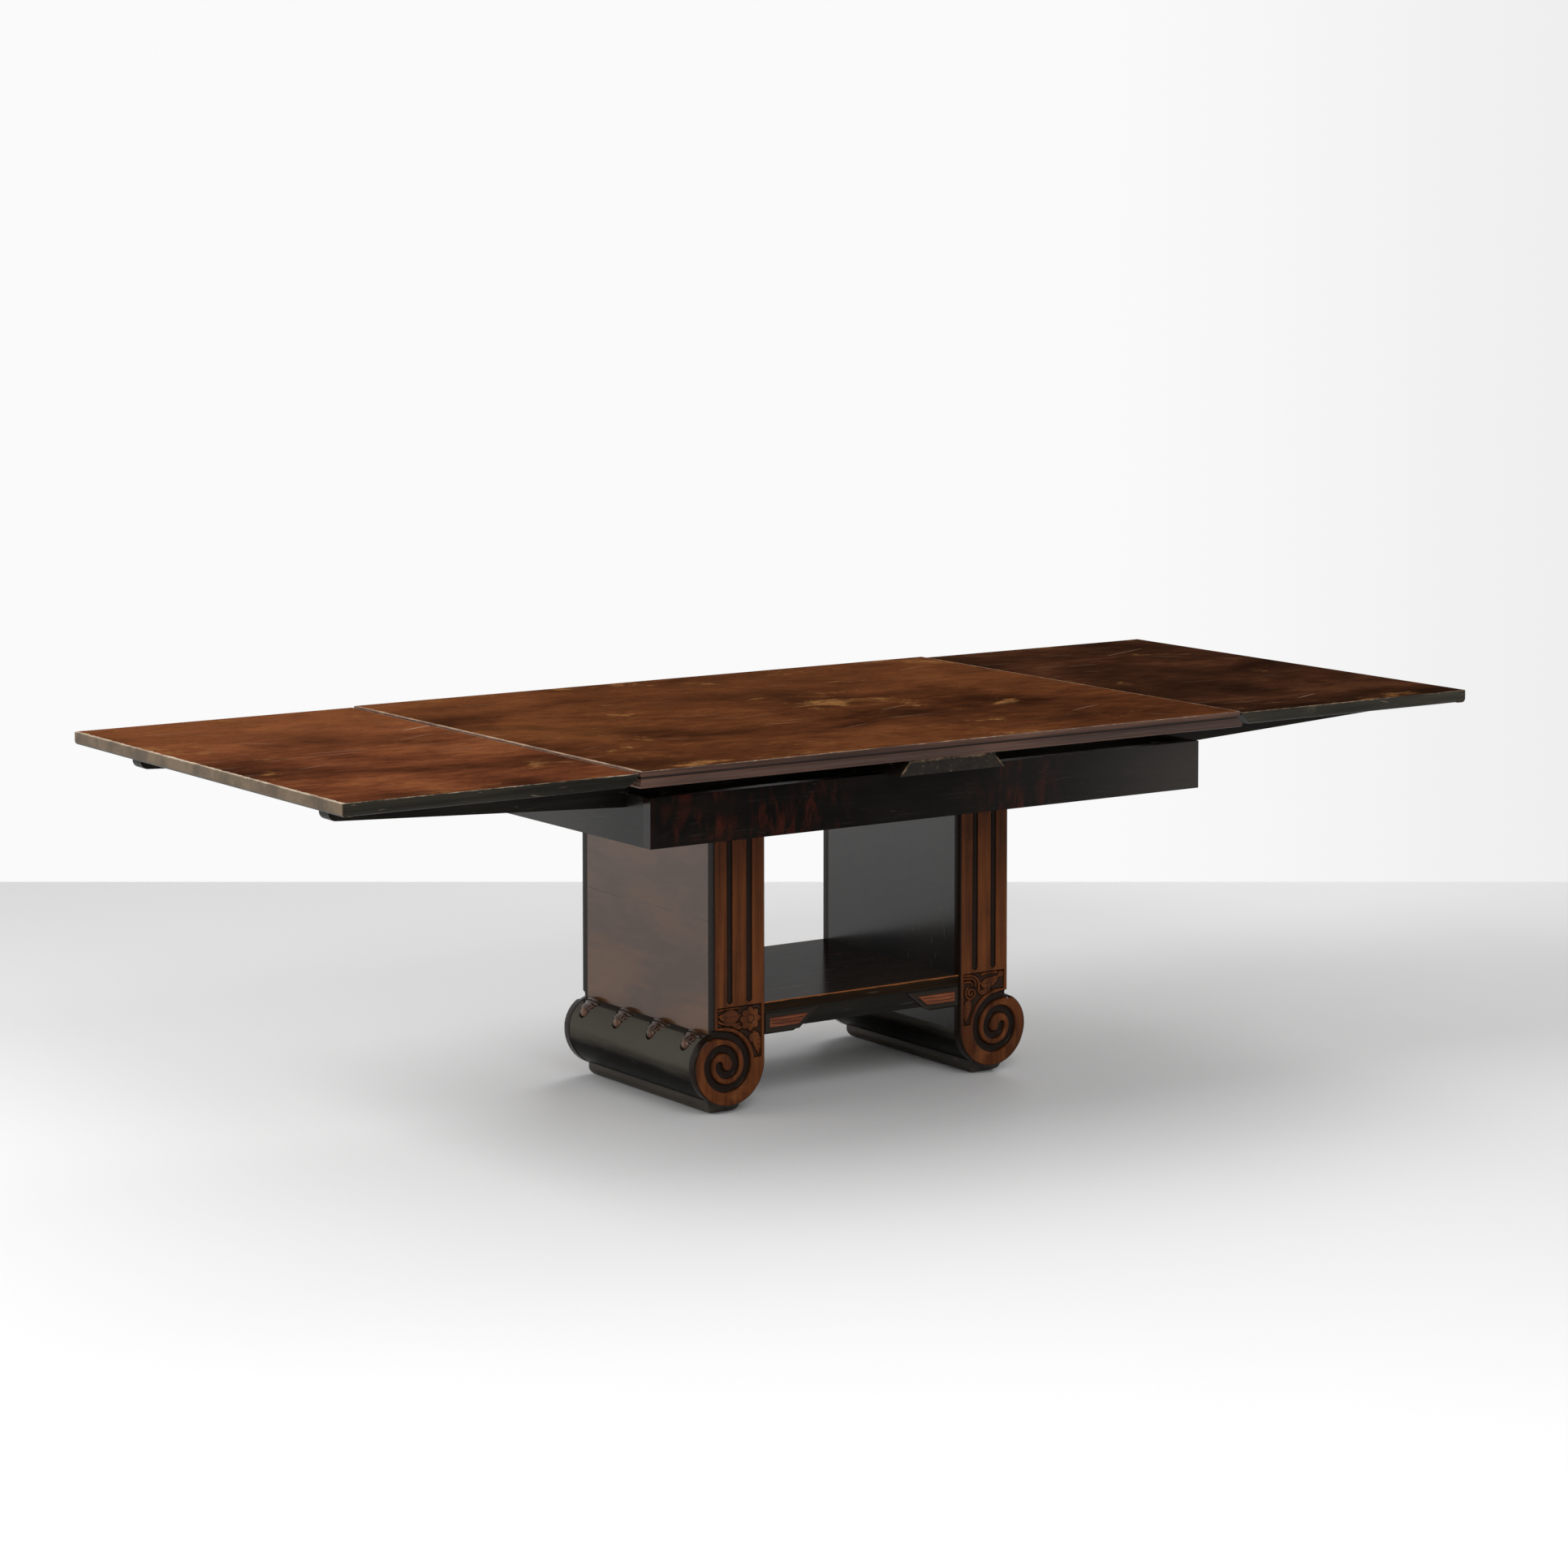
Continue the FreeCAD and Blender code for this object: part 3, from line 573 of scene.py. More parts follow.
@dataclass(frozen=True)
class BloomPolish(Lacquer):
    """Dark polish with a grey painted sheen away from the table's front and rear corners."""

    bloom: Colour = tone(70, 68, 62)
    bare_corner: float = 0.43
    bloomed: float = 0.10

    def look(self, recipe: Recipe) -> Look:
        """The polish with its painted sheen.

        Args:
            recipe: The material's recipe.

        Returns:
            The look.
        """
        _, y, _ = recipe.axes()
        cloud = recipe.noise((6, 6, 6), self.seed + 3.0, 4.0) - 0.5
        # Painted sheen: the rail greys towards its middle and stays clear at the corners.
        bloom = (abs(y) + cloud * 0.08).rise(self.bare_corner, self.bloomed)
        return Lacquer.look(self, recipe).stained(self.bloom, bloom * 0.85)


@dataclass(frozen=True)
class PanelPolish(Lacquer):
    """Polished veneer with a level crack where its sheets meet."""

    crack: float = 0.402
    dark: Colour = tone(34, 24, 18)

    def look(self, recipe: Recipe) -> Look:
        """The polish with its broken crack.

        Args:
            recipe: The material's recipe.

        Returns:
            The look.
        """
        _, _, z = recipe.axes()
        sway = recipe.noise((2.0, 7.0, 2.0), self.seed + 1.0, 4.0) - 0.5
        shown = recipe.noise((9, 9, 9), self.seed + 4.0, 3.0).rise(0.40, 0.54)
        line = abs(z - self.crack + sway * 0.012).rise(0.0013, 0.0004) * shown
        return Lacquer.look(self, recipe).stained(self.dark, line * 0.6, 0.1)


@dataclass(frozen=True)
class ShelfPolish(Lacquer):
    """Dark polish that is rubbed to the wood along its front and rear arrises."""

    front: float = 0.247
    level: float = 0.222
    strip: tuple[float, float] = (0.0034, 0.0012)

    def look(self, recipe: Recipe) -> Look:
        """The polish with its rubbed arrises.

        Args:
            recipe: The material's recipe.

        Returns:
            The look.
        """
        _, y, z = recipe.axes()
        chip = (recipe.noise((30, 90, 90), self.seed + 1.0, 3.0) - 0.5) * 0.004
        across, down = ((inward + chip).rise(*self.strip) for inward in (self.front - abs(y), self.level - z))
        return Lacquer.look(self, recipe).stained(self.rubbed, across * down * 0.85, 0.15)


@dataclass(frozen=True)
class BoardPolish(Lacquer):
    """Dark polish that is chipped to the wood along the upper and slanted arrises of the board's ends."""

    chipped: Colour = tone(150, 124, 96)
    end: float = 0.559
    level: float = 0.747
    half: float = 0.108
    slope: float = 0.885
    lip: float = 0.006
    top_strip: tuple[float, float] = (0.0075, 0.0030)
    side_strip: tuple[float, float] = (0.0050, 0.0015)

    def look(self, recipe: Recipe) -> Look:
        """The polish with its chipped arrises.

        Args:
            recipe: The material's recipe.

        Returns:
            The look.
        """
        x, y, z = recipe.axes()
        chip = (recipe.noise((90, 90, 90), self.seed + 1.0, 4.0) - 0.5) * 0.010
        shown = recipe.noise((34, 34, 34), self.seed + 4.0, 4.0, 0.6).rise(0.36, 0.58)
        slant = self.half + (self.level - self.lip - z) * self.slope - abs(x)
        rim = (self.level - z + chip).rise(*self.top_strip) | (slant + chip).rise(*self.side_strip)
        mask = rim * shown * (self.end - abs(y)).rise(0.004, 0.001)
        return Lacquer.look(self, recipe).stained(self.chipped, mask * 0.7, 0.15)


@dataclass(frozen=True)
class CarvedFace(Finish):
    """Polished wood with painted shade in its hollows and dark stain elsewhere, both laid by the carving's
    own vertex attribute.
    """

    wood: Wood = Wood("wood")
    dark: Colour = tone(24, 17, 12)
    worn: Colour = tone(150, 92, 54)

    def look(self, recipe: Recipe) -> Look:
        """Warm wood on the face, darkened in the hollows by painted shade, worn on the low rim.

        Args:
            recipe: The material's recipe.

        Returns:
            The look.
        """
        _, _, z = recipe.axes()
        laid = recipe.node("ShaderNodeAttribute", {"attribute_name": "stain"}, {}, "Fac")
        ragged = recipe.noise((160, 160, 160), 6.0, 3.0) - 0.5
        dirt = recipe.noise((26, 26, 26), 4.2, 5.0, 0.65).rise(0.60, 0.78)
        rub = recipe.noise((18, 18, 18), 9.1, 4.0, 0.6).rise(0.5, 0.72) * z.rise(0.10, 0.03)
        face = self.wood.look(recipe).stained(self.worn, rub * 0.4, 0.1).stained(self.dark, dirt * 0.4)
        # Painted shade in the hollows, and dark stain, as laid by the carving's vertex attribute.
        return face.stained(self.dark, (laid + ragged * laid * 0.4).rise(0.05, 0.95) * 0.96, -0.06)


@dataclass(frozen=True)
class Steel(Finish):
    """Dull screw steel with rust in it."""

    def look(self, recipe: Recipe) -> Look:
        """Grey metal with brown specks.

        Args:
            recipe: The material's recipe.

        Returns:
            The look.
        """
        speck = recipe.noise((300, 300, 300), 2.0, 4.0)
        colour = recipe.ramp(speck, ((0.3, tone(70, 58, 48)), (0.6, tone(128, 124, 118))))
        return Look(colour, 0.35 + speck * 0.3, speck)


class Palette:
    """Every finish of the table, each made once."""

    def __init__(self) -> None:
        """Sets out the woods, the leaves' wear and the finishes that need no sub-assembly's sizes."""
        mottled: dict[str, Any] = {"stretch": 2.4, "clouds": 3.2, "cloud_stretch": 1.3, "figure": 0.25}
        polish: dict[str, Any] = {"streaks": 50, "stretch": 20}
        grey = tone(104, 97, 80)
        self.woods: dict[str, Wood] = {
            "top": Wood("top veneer", stops=shades((48, 25, 14), (75, 42, 24), (90, 51, 29), (108, 64, 36)),
                        streaks=30, seed=1.0, roughness=0.5, **mottled),
            "leaf": Wood("leaf veneer",
                         stops=shades((54, 29, 18), (84, 46, 28), (103, 57, 35), (128, 76, 46)), streaks=32,
                         seed=5.0, roughness=0.48, **mottled),
            "dark_leaf": Wood("dark leaf veneer",
                              stops=shades((32, 18, 12), (48, 28, 18), (60, 35, 23), (82, 50, 32)),
                              streaks=32, seed=9.0, roughness=0.48, **mottled),
            "moulding": Wood("moulding wood", 0.35, stops=shades((46, 28, 20), (78, 52, 41), (106, 76, 60)),
                             streaks=60, stretch=30, seed=3.0, roughness=0.36),
            "rubbed_black": Lacquer("rubbed black polish", 0.1,
                                    stops=shades((22, 21, 17), (36, 34, 28), (52, 48, 40)), seed=11.0,
                                    roughness=0.36, rub=0.55, rubbed=grey, scratches=0.4, **polish),
            "grey_black": Lacquer("greyed black polish", 0.1,
                                  stops=shades((40, 38, 32), (58, 55, 47), (78, 74, 63)), seed=13.0,
                                  roughness=0.4, rub=0.4, rubbed=grey, scratches=0.3, **polish),
            "mahogany": Wood("mahogany", stops=shades((58, 28, 11), (90, 47, 19), (114, 63, 29)),
                             grain=Axis.Z, streaks=70, stretch=26, clouds=9, seed=2.0, roughness=0.33),
            "tablet": Lacquer("tablet wood", stops=shades((70, 32, 19), (112, 58, 34), (140, 80, 50)),
                              streaks=120, stretch=10, clouds=20, seed=33.0, roughness=0.42, rub=0.3,
                              rubbed=tone(34, 22, 15), scratches=0.15),
            "drops": Lacquer("drop wood", stops=shades((58, 38, 28), (96, 68, 52), (128, 94, 74)),
                             grain=Axis.Z, streaks=160, stretch=6, clouds=30, seed=30.0, roughness=0.36,
                             rub=0.3, rubbed=tone(40, 22, 16), scratches=0.1),
        }
        self.wear: dict[Side, dict[str, Any]] = {
            # The left leaf carries a strong painted sheen towards the rear, the right leaf none.
            Side.LEFT: {"veneer": self.woods["leaf"], "edge": self.woods["rubbed_black"], "seed": 21.0,
                        "end_arris": (0.0065, 0.0005), "patches": 0.6, "fade": 0.6, "arris_share": 0.95,
                        "end_rub": 0.9, "bare": tone(196, 178, 156)},
            Side.RIGHT: {"veneer": self.woods["dark_leaf"], "edge": self.woods["grey_black"], "seed": 43.0,
                         "end_arris": (0.0005, 0.0025), "patches": 0.5, "fade": 0.0},
        }
        self.finishes: dict[str, Finish] = {
            "ebonised": Lacquer("black polish", 0.1, stops=shades((17, 16, 13), (28, 26, 21), (40, 37, 30)),
                                seed=8.0, roughness=0.34, rub=0.25, scratches=0.14, **polish),
            "apron": FlameVeneer("flame_veneer", 0.32, 0.00004, flame=tone(74, 28, 18),
                                 stops=shades((9, 8, 6), (14, 12, 9), (21, 17, 12)), streaks=40, stretch=14,
                                 seed=12.0, roughness=0.13, rub=0.04, scratches=0.03),
            "end_rail": BloomPolish("end_veneer", 0.24, 0.00008,
                                    stops=shades((18, 17, 14), (26, 24, 21), (34, 32, 28)), streaks=40,
                                    stretch=14, seed=14.0, roughness=0.24, rub=0.1, scratches=0.2,
                                    grain=Axis.Y),
            "panel": PanelPolish("pedestal_veneer", 0.52, 0.00004,
                                 stops=shades((80, 55, 37), (96, 65, 42), (110, 74, 46)), grain=Axis.Y,
                                 streaks=7, stretch=1.4, clouds=6.5, seed=18.0, roughness=0.2, uneven=0.06,
                                 figure=0.2, open_pores=0.1, rub=0.06, scratches=0.06),
            # Painted shade: the inner panels, which stand in shadow, take a far darker copy of the panel
            # veneer.
            "inner_panel": PanelPolish("inner_panel_polish", 0.62, 0.00004,
                                       stops=shades((14, 10, 8), (24, 18, 13), (38, 28, 20)), grain=Axis.Z,
                                       streaks=6, stretch=3, clouds=5, seed=19.0, roughness=0.2, uneven=0.06,
                                       figure=0.15, open_pores=0.1, rub=0.06, scratches=0.2),
            "mahogany": CarvedFace("carved_mahogany", 0.12, 0.00006, wood=self.woods["mahogany"]),
            "barrel": ShoulderPolish("barrel_polish", 0.02, 0.0001,
                                     stops=shades((10, 9, 7), (14, 12, 9), (22, 18, 13)), grain=Axis.Y,
                                     streaks=30, stretch=20, seed=24.0, roughness=0.27, rub=0.2,
                                     scratches=0.08),
            "runner": Lacquer("runner_polish", 0.4, 0.0003,
                              stops=shades((22, 18, 11), (40, 33, 19), (56, 46, 27)), grain=Axis.Y,
                              streaks=40, stretch=18, seed=27.0, roughness=0.4, rub=0.3),
            "carving": CarvedFace("carved_drops", 0.4, 0.0001, wood=self.woods["drops"],
                                  dark=tone(20, 14, 10)),
            "tablet": CarvedFace("carved_tablet", 0.2, 0.0003, wood=self.woods["tablet"],
                                 dark=tone(28, 26, 20)),
            "shelf": ShelfPolish("shelf_polish", 0.0035, 0.0003,
                                 stops=shades((22, 17, 12), (38, 28, 20), (54, 38, 26)), streaks=28,
                                 stretch=12, seed=36.0, roughness=0.18, rub=0.3, rubbed=tone(150, 92, 54),
                                 scratches=0.2),
            "inner": Wood("inner_wood", 0.3, 0.0004,
                          stops=shades((86, 58, 36), (118, 82, 52), (142, 104, 68)), streaks=50,
                          stretch=16, seed=39.0, roughness=0.65),
            "steel": Steel("screw_steel", 0.5, 0.0001),
        }
        self._made: dict[str, bpy.types.Material] = {}

    def material(self, key: str) -> bpy.types.Material:
        """The material of a finish, made at its first use.

        Args:
            key: The finish's key.

        Returns:
            The material.
        """
        if key not in self._made:
            self._made[key] = self.finishes[key].make()
        return self._made[key]


def dress_node(frame: dict[str, Any], name: str, material: bpy.types.Material) -> None:
    """Gives a CAD node its finish.

    Args:
        frame: The loaded frame.
        name: The node's name.
        material: Its finish.
    """
    piece = frame["nodes"][name]
    if piece.material_slots:
        for slot in piece.material_slots:
            slot.material = material
    else:
        piece.data.materials.append(material)
    log.info("dressed %s in %s", name, material.name)


def new_piece(name: str, mesh: bpy.types.Mesh, body: str, slot: str, *replaced: str) -> bpy.types.Object:
    """Puts a finished mesh into the scene as a piece of the table.

    Args:
        name: The piece's name.
        mesh: Its mesh, already in place.
        body: The CAD body that carries it.
        slot: The record's material slot; not used.
        replaced: CAD nodes that it stands for.

    Returns:
        The new object.
    """
    piece = bpy.data.objects.new(name, mesh)
    bpy.context.scene.collection.objects.link(piece)
    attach(piece, body)
    if replaced:
        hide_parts(*replaced)
    log.info("built %s with %d faces", name, len(mesh.polygons))
    return piece


# Carving


def smooth(low: float, high: float, value: np.ndarray) -> np.ndarray:
    """A smooth step from 0 at low to 1 at high."""
    part = np.clip((value - low) / (high - low), 0.0, 1.0)
    return part * part * (3 - 2 * part)


def along_curve(points: np.ndarray, x: np.ndarray, z: np.ndarray) -> tuple[np.ndarray, np.ndarray]:
    """How far each place lies from a line of points, and where along it.

    Args:
        points: Points of the line, in mm.
        x: Places across.
        z: Places up.

    Returns:
        The distance, and the place along the line from 0 to 1.
    """
    best = np.full(x.shape, 1e9)
    where = np.zeros(x.shape)
    count = len(points) - 1
    for index in range(count):
        start, step = points[index], points[index + 1] - points[index]
        ahead = (x - start[0]) * step[0] + (z - start[1]) * step[1]
        part = np.clip(ahead / max(step @ step, 1e-9), 0.0, 1.0)
        far = np.hypot(x - start[0] - part * step[0], z - start[1] - part * step[1])
        nearer = far < best
        best = np.where(nearer, far, best)
        where = np.where(nearer, (index + part) / count, where)
    return best, where


def bent(start: Point, middle: Point, end: Point, count: int = 14) -> np.ndarray:
    """Points of a bent stem.

    Args:
        start: Where it starts.
        middle: The point that it bends towards.
        end: Where it ends.
        count: How many points.

    Returns:
        The points.
    """
    part = np.linspace(0, 1, count)[:, None]
    first, second, third = (np.array(point, float) for point in (start, middle, end))
    return first * (1 - part) ** 2 + second * 2 * part * (1 - part) + third * part ** 2


def leaf_relief(stem: np.ndarray, half: float, rise: float, x: np.ndarray, z: np.ndarray) -> np.ndarray:
    """A pointed leaf with a sunk midrib and side veins.

    Args:
        stem: Points of its midrib.
        half: Its half width.
        rise: Its height.
        x: Places across.
        z: Places up.

    Returns:
        The height at each place.
    """
    far, where = along_curve(stem, x, z)
    width = half * np.sin(np.pi * np.clip(where, 0.02, 0.98) ** 0.8) ** 0.75
    share = np.clip(far / np.maximum(width, 0.4), 0, 1)
    veins = 0.16 * np.cos(where * 34 - share * 3.2)
    body = np.sqrt(1 - share ** 2) * (0.84 + veins)
    return rise * (body - 0.45 * np.exp(-((far / 0.9) ** 2)) * (share < 1)) * (share < 1)


def ridge_relief(path: np.ndarray, half: float, rise: float, x: np.ndarray, z: np.ndarray) -> np.ndarray:
    """A round strand along a path."""
    far, _ = along_curve(path, x, z)
    return rise * np.sqrt(np.clip(1 - (far / half) ** 2, 0, 1))


def flower_relief(centre: Point, radius: float, rise: float, x: np.ndarray, z: np.ndarray) -> np.ndarray:
    """An eight-petalled rosette with a beaded eye.

    Args:
        centre: Its middle.
        radius: Its radius.
        rise: Its height.
        x: Places across.
        z: Places up.

    Returns:
        The height at each place.
    """
    across, up = x - centre[0], z - centre[1]
    far, turn = np.hypot(across, up), np.arctan2(up, across)
    lobe = np.abs(np.cos(turn * 4))
    reach = radius * (0.80 + 0.20 * lobe)
    crown = 0.55 + 0.35 * lobe ** 0.6 * smooth(0.35, 0.7, far / radius)
    petal = np.sqrt(np.clip(1 - (far / reach) ** 4, 0, 1)) * crown
    ring = np.exp(-(((far - radius * 0.46) / 1.5) ** 2)) * 0.35
    eye = np.sqrt(np.clip(1 - (far / (radius * 0.26)) ** 2, 0, 1)) * 0.55
    pit = np.exp(-(((far - radius * 0.33) / 1.5) ** 2)) * 0.4
    return rise * np.clip(petal + ring + eye * (far < radius * 0.3) - pit, 0, 1) * (far < reach)


def outlined(shape: np.ndarray) -> np.ndarray:
    """The cells of a grid that lie just outside a shape.

    Args:
        shape: The cells of the shape.

    Returns:
        The cells round it.
    """
    wide = shape.copy()
    for axis in (0, 1):
        wide |= np.roll(wide, 1, axis) | np.roll(wide, -1, axis)
    return wide & ~shape


def coil(centre: Point, radius: float, turns: float, first: float, count: int = 40) -> np.ndarray:
    """Points of a coil that winds in to its centre.

    Args:
        centre: Its middle.
        radius: Its outer radius.
        turns: How often it winds round.
        first: The angle that it starts at, in radians.
        count: How many points.

    Returns:
        The points.
    """
    part = np.linspace(0, 1, count)
    angle = first + part * turns * 2 * np.pi
    reach = radius * (1 - 0.86 * part)
    return np.stack([centre[0] + reach * np.cos(angle), centre[1] + reach * np.sin(angle)], axis=1)


@dataclass
class ReliefBoard:
    """A carved board: a grid cut to an outline, raised and given dark stain and painted shade at every place,
    and closed behind.
    """

    columns: np.ndarray
    rows: np.ndarray
    inside: Field
    relief: Relief
    front: float
    back: float
    crease: float = 48.0

    def settle(self, x: np.ndarray, z: np.ndarray) -> tuple[np.ndarray, np.ndarray, np.ndarray]:
        """Moves the places by the outline onto it.

        Args:
            x: Places across.
            z: Places up.

        Returns:
            The new places, and a mask of those that lie well inside.
        """
        near = 0.35 * min(np.diff(self.columns).min(), np.diff(self.rows).min())
        deep = self.inside(x, z) > near
        for _ in range(4):
            away = self.inside(x, z)
            slope_x = (self.inside(x + 0.02, z) - self.inside(x - 0.02, z)) / 0.04
            slope_z = (self.inside(x, z + 0.02) - self.inside(x, z - 0.02)) / 0.04
            size = np.maximum(slope_x ** 2 + slope_z ** 2, 0.2)
            x = np.where(deep, x, x - away * slope_x / size)
            z = np.where(deep, z, z - away * slope_z / size)
        return x, z, deep

    def mesh(self, name: str, turn_x: int, turn_y: int) -> bpy.types.Mesh:
        """Builds the board's mesh.

        Args:
            name: The mesh's name.
            turn_x: -1 to mirror it to the left side.
            turn_y: -1 to mirror it to the back.

        Returns:
            A closed mesh in metres.
        """
        grid_x, grid_z = np.meshgrid(self.columns, self.rows, indexing="ij")
        x, z, deep = self.settle(grid_x, grid_z)
        height, stain = self.relief(x, z)
        y = self.front - height
        kept = deep[:-1, :-1] | deep[1:, :-1] | deep[1:, 1:] | deep[:-1, 1:]
        index = np.arange(x.size).reshape(x.shape)
        quads = np.stack([index[:-1, :-1], index[1:, :-1], index[1:, 1:], index[:-1, 1:]], axis=-1)[kept]
        used, faces = np.unique(quads, return_inverse=True)
        places = np.stack([x.ravel() * turn_x, y.ravel() * turn_y, z.ravel()], axis=1)[used] / MM
        shape = bmesh.new()
        # A vertex attribute that carries dark stain and painted shade.
        layer = shape.verts.layers.float.new("stain")
        points = [shape.verts.new(place) for place in places]
        for point, share in zip(points, stain.ravel()[used]):
            point[layer] = share
        for quad in faces.reshape(-1, 4):
            shape.faces.new([points[corner] for corner in quad]).smooth = True
        rim = [edge for edge in shape.edges if edge.is_boundary]
        skirt = bmesh.ops.extrude_edge_only(shape, edges=rim)["geom"]
        low = [item for item in skirt if isinstance(item, bmesh.types.BMVert)]
        for point in low:
            point.co.y = self.back * turn_y / MM
        loop = [edge for edge in shape.edges if edge.is_boundary]
        bmesh.ops.edgenet_fill(shape, edges=loop)
        bmesh.ops.dissolve_degenerate(shape, dist=1e-6, edges=shape.edges)
        bmesh.ops.recalc_face_normals(shape, faces=shape.faces)
        mesh = bpy.data.meshes.new(name)
        shape.to_mesh(mesh)
        shape.free()
        mesh.set_sharp_from_angle(angle=math.radians(self.crease))
        return mesh


# Geometry Nodes


class DropTree:
    """The node tree that beads one drop ornament and sets a row of them along the barrel."""

    INPUTS: ClassVar[dict[str, str]] = {
        "Drop": "Object", "Count": "Int", "Start": "Vector", "Step": "Vector", "Lean": "Vector",
        "Beads": "Int", "Bead Radius": "Float", "Bead Ring": "Float", "Bead Level": "Vector",
        "Bead Squash": "Vector", "Finish": "Material", "Bead Finish": "Material"}

    def __init__(self) -> None:
        """Builds the tree with its named inputs."""
        self.tree = bpy.data.node_groups.new("row_of_drops", "GeometryNodeTree")
        face = self.tree.interface
        for name, kind in self.INPUTS.items():
            face.new_socket(name, in_out="INPUT", socket_type=f"NodeSocket{kind}")
        face.new_socket("Geometry", in_out="OUTPUT", socket_type="NodeSocketGeometry")
        recipe = Recipe(self.tree)
        group = recipe.add("NodeGroupInput", {}, {})
        given = {name: Term(recipe, group.outputs[name]) for name in self.INPUTS}
        drop = recipe.node("GeometryNodeObjectInfo", {}, {"Object": given["Drop"]}, "Geometry")
        ring = recipe.node("GeometryNodeMeshCircle", {}, {
            "Vertices": given["Beads"], "Radius": given["Bead Ring"]})
        raised = recipe.node("GeometryNodeTransform", {}, {
            "Geometry": ring, "Translation": given["Bead Level"], "Scale": given["Bead Squash"]})
        bead = recipe.node("GeometryNodeMeshIcoSphere", {}, {
            "Radius": given["Bead Radius"], "Subdivisions": 2})
        marked = recipe.node("GeometryNodeStoreNamedAttribute", {"data_type": "BOOLEAN"}, {
            "Geometry": bead, "Name": "bead", "Value": True})
        beads = recipe.node("GeometryNodeInstanceOnPoints", {}, {"Points": raised, "Instance": marked})
        joined = recipe.node("GeometryNodeJoinGeometry", {}, {0: [drop, beads]})
        leaned = recipe.node("GeometryNodeTransform", {}, {"Geometry": joined, "Rotation": given["Lean"]})
        row = recipe.node("GeometryNodeMeshLine", {}, {
            "Count": given["Count"], "Start Location": given["Start"], "Offset": given["Step"]})
        drops = recipe.node("GeometryNodeInstanceOnPoints", {}, {"Points": row, "Instance": leaned})
        real = recipe.node("GeometryNodeRealizeInstances", {}, {"Geometry": drops})
        dressed = recipe.node("GeometryNodeSetMaterial", {}, {"Geometry": real, "Material": given["Finish"]})
        is_bead = recipe.node("GeometryNodeInputNamedAttribute", {"data_type": "BOOLEAN"}, {"Name": "bead"})
        dotted = recipe.node("GeometryNodeSetMaterial", {}, {
            "Geometry": dressed, "Selection": is_bead, "Material": given["Bead Finish"]})
        recipe.add("NodeGroupOutput", {}, {0: dotted})

    def grow(self, name: str, values: dict[str, Any]) -> bpy.types.Mesh:
        """Runs the tree on an empty mesh.

        Args:
            name: The result's name.
            values: The inputs by name.

        Returns:
            A plain mesh.
        """
        holder = bpy.data.objects.new(name + "_holder", bpy.data.meshes.new(name + "_holder"))
        bpy.context.scene.collection.objects.link(holder)
        step = holder.modifiers.new("drops", "NODES")
        step.node_group = self.tree
        for item in self.tree.interface.items_tree:
            if item.in_out == "INPUT" and item.name in values:
                step[item.identifier] = values[item.name]
        ready = holder.evaluated_get(bpy.context.evaluated_depsgraph_get())
        mesh = bpy.data.meshes.new_from_object(ready)
        mesh.name = name
        holder.modifiers.remove(step)
        bpy.data.objects.remove(holder)
        return mesh


# Sub-assemblies


class Assembly:
    """A sub-assembly that dresses its CAD nodes."""

    def own_finishes(self, palette: Palette) -> dict[str, Finish]:
        """The finishes that need this sub-assembly's sizes.

        Args:
            palette: The finishes so far, with the woods.

        Returns:
            The finishes by their keys.
        """
        return {}

    def node_finishes(self) -> dict[str, str]:
        """The key of each CAD node's finish, by the node's name."""
        raise NotImplementedError

    def dress(self, frame: dict[str, Any], palette: Palette) -> None:
        """Gives every CAD node its finish.

        Args:
            frame: The loaded frame.
            palette: The finishes.
        """
        palette.finishes.update(self.own_finishes(palette))
        for name, key in self.node_finishes().items():
            dress_node(frame, name, palette.material(key))


@dataclass
class TableTop(Assembly):
    """The loose top and its mouldings. Sizes are in metres."""

    level: float = 0.780
    half_length: float = 0.748
    end_arris: tuple[float, float] = (0.006, 0.0035)
    groove: float = 0.013
    pale_corner: Point = (-0.63, -0.535)

    def own_finishes(self, palette: Palette) -> dict[str, Finish]:
        """The worn veneer over the moulding's wood."""
        return {"top": WornTop("worn_top", 0.0, 0.0003, veneer=palette.woods["top"],
                               edge=palette.woods["moulding"], level=self.level,
                               ends=(-self.half_length, self.half_length), end_arris=self.end_arris,
                               groove=self.groove, corner=self.pale_corner)}

    def node_finishes(self) -> dict[str, str]:
        """The top's nodes."""
        mouldings = {f"top_{word}_moulding": "top" for word in ("front", "rear", "left", "right")}
        return {"top_panel": "top", **mouldings, "top_locating_pegs": "inner"}


@dataclass
class Leaf(Assembly):
    """A sliding leaf with its edges and bearers. Sizes are in metres."""

    side: Side
    level: float = 0.777
    inner: float = 0.753
    outer: float = 1.394

    def own_finishes(self, palette: Palette) -> dict[str, Finish]:
        """The worn veneer over the leaf's black edges."""
        ends = tuple(sorted(self.side.value * end for end in (self.inner, self.outer)))
        leaf = f"{self.side.word}_leaf"
        wear = palette.wear[self.side]
        return {leaf: WornTop(f"worn_{leaf}", 0.0, 0.0003, level=self.level, ends=ends, **wear)}

    def node_finishes(self) -> dict[str, str]:
        """The leaf's nodes."""
        leaf = f"{self.side.word}_leaf"
        parts = ("panel", "front_edge", "rear_edge", "outer_edge", "inner_edge")
        faces = {f"{leaf}_{part}": leaf for part in parts}
        bearers = {f"{leaf}_{part}": "ebonised" for part in ("front_bearer", "rear_bearer", "bearer_stops")}
        return {**faces, **bearers, f"{leaf}_bearer_screws": "steel"}


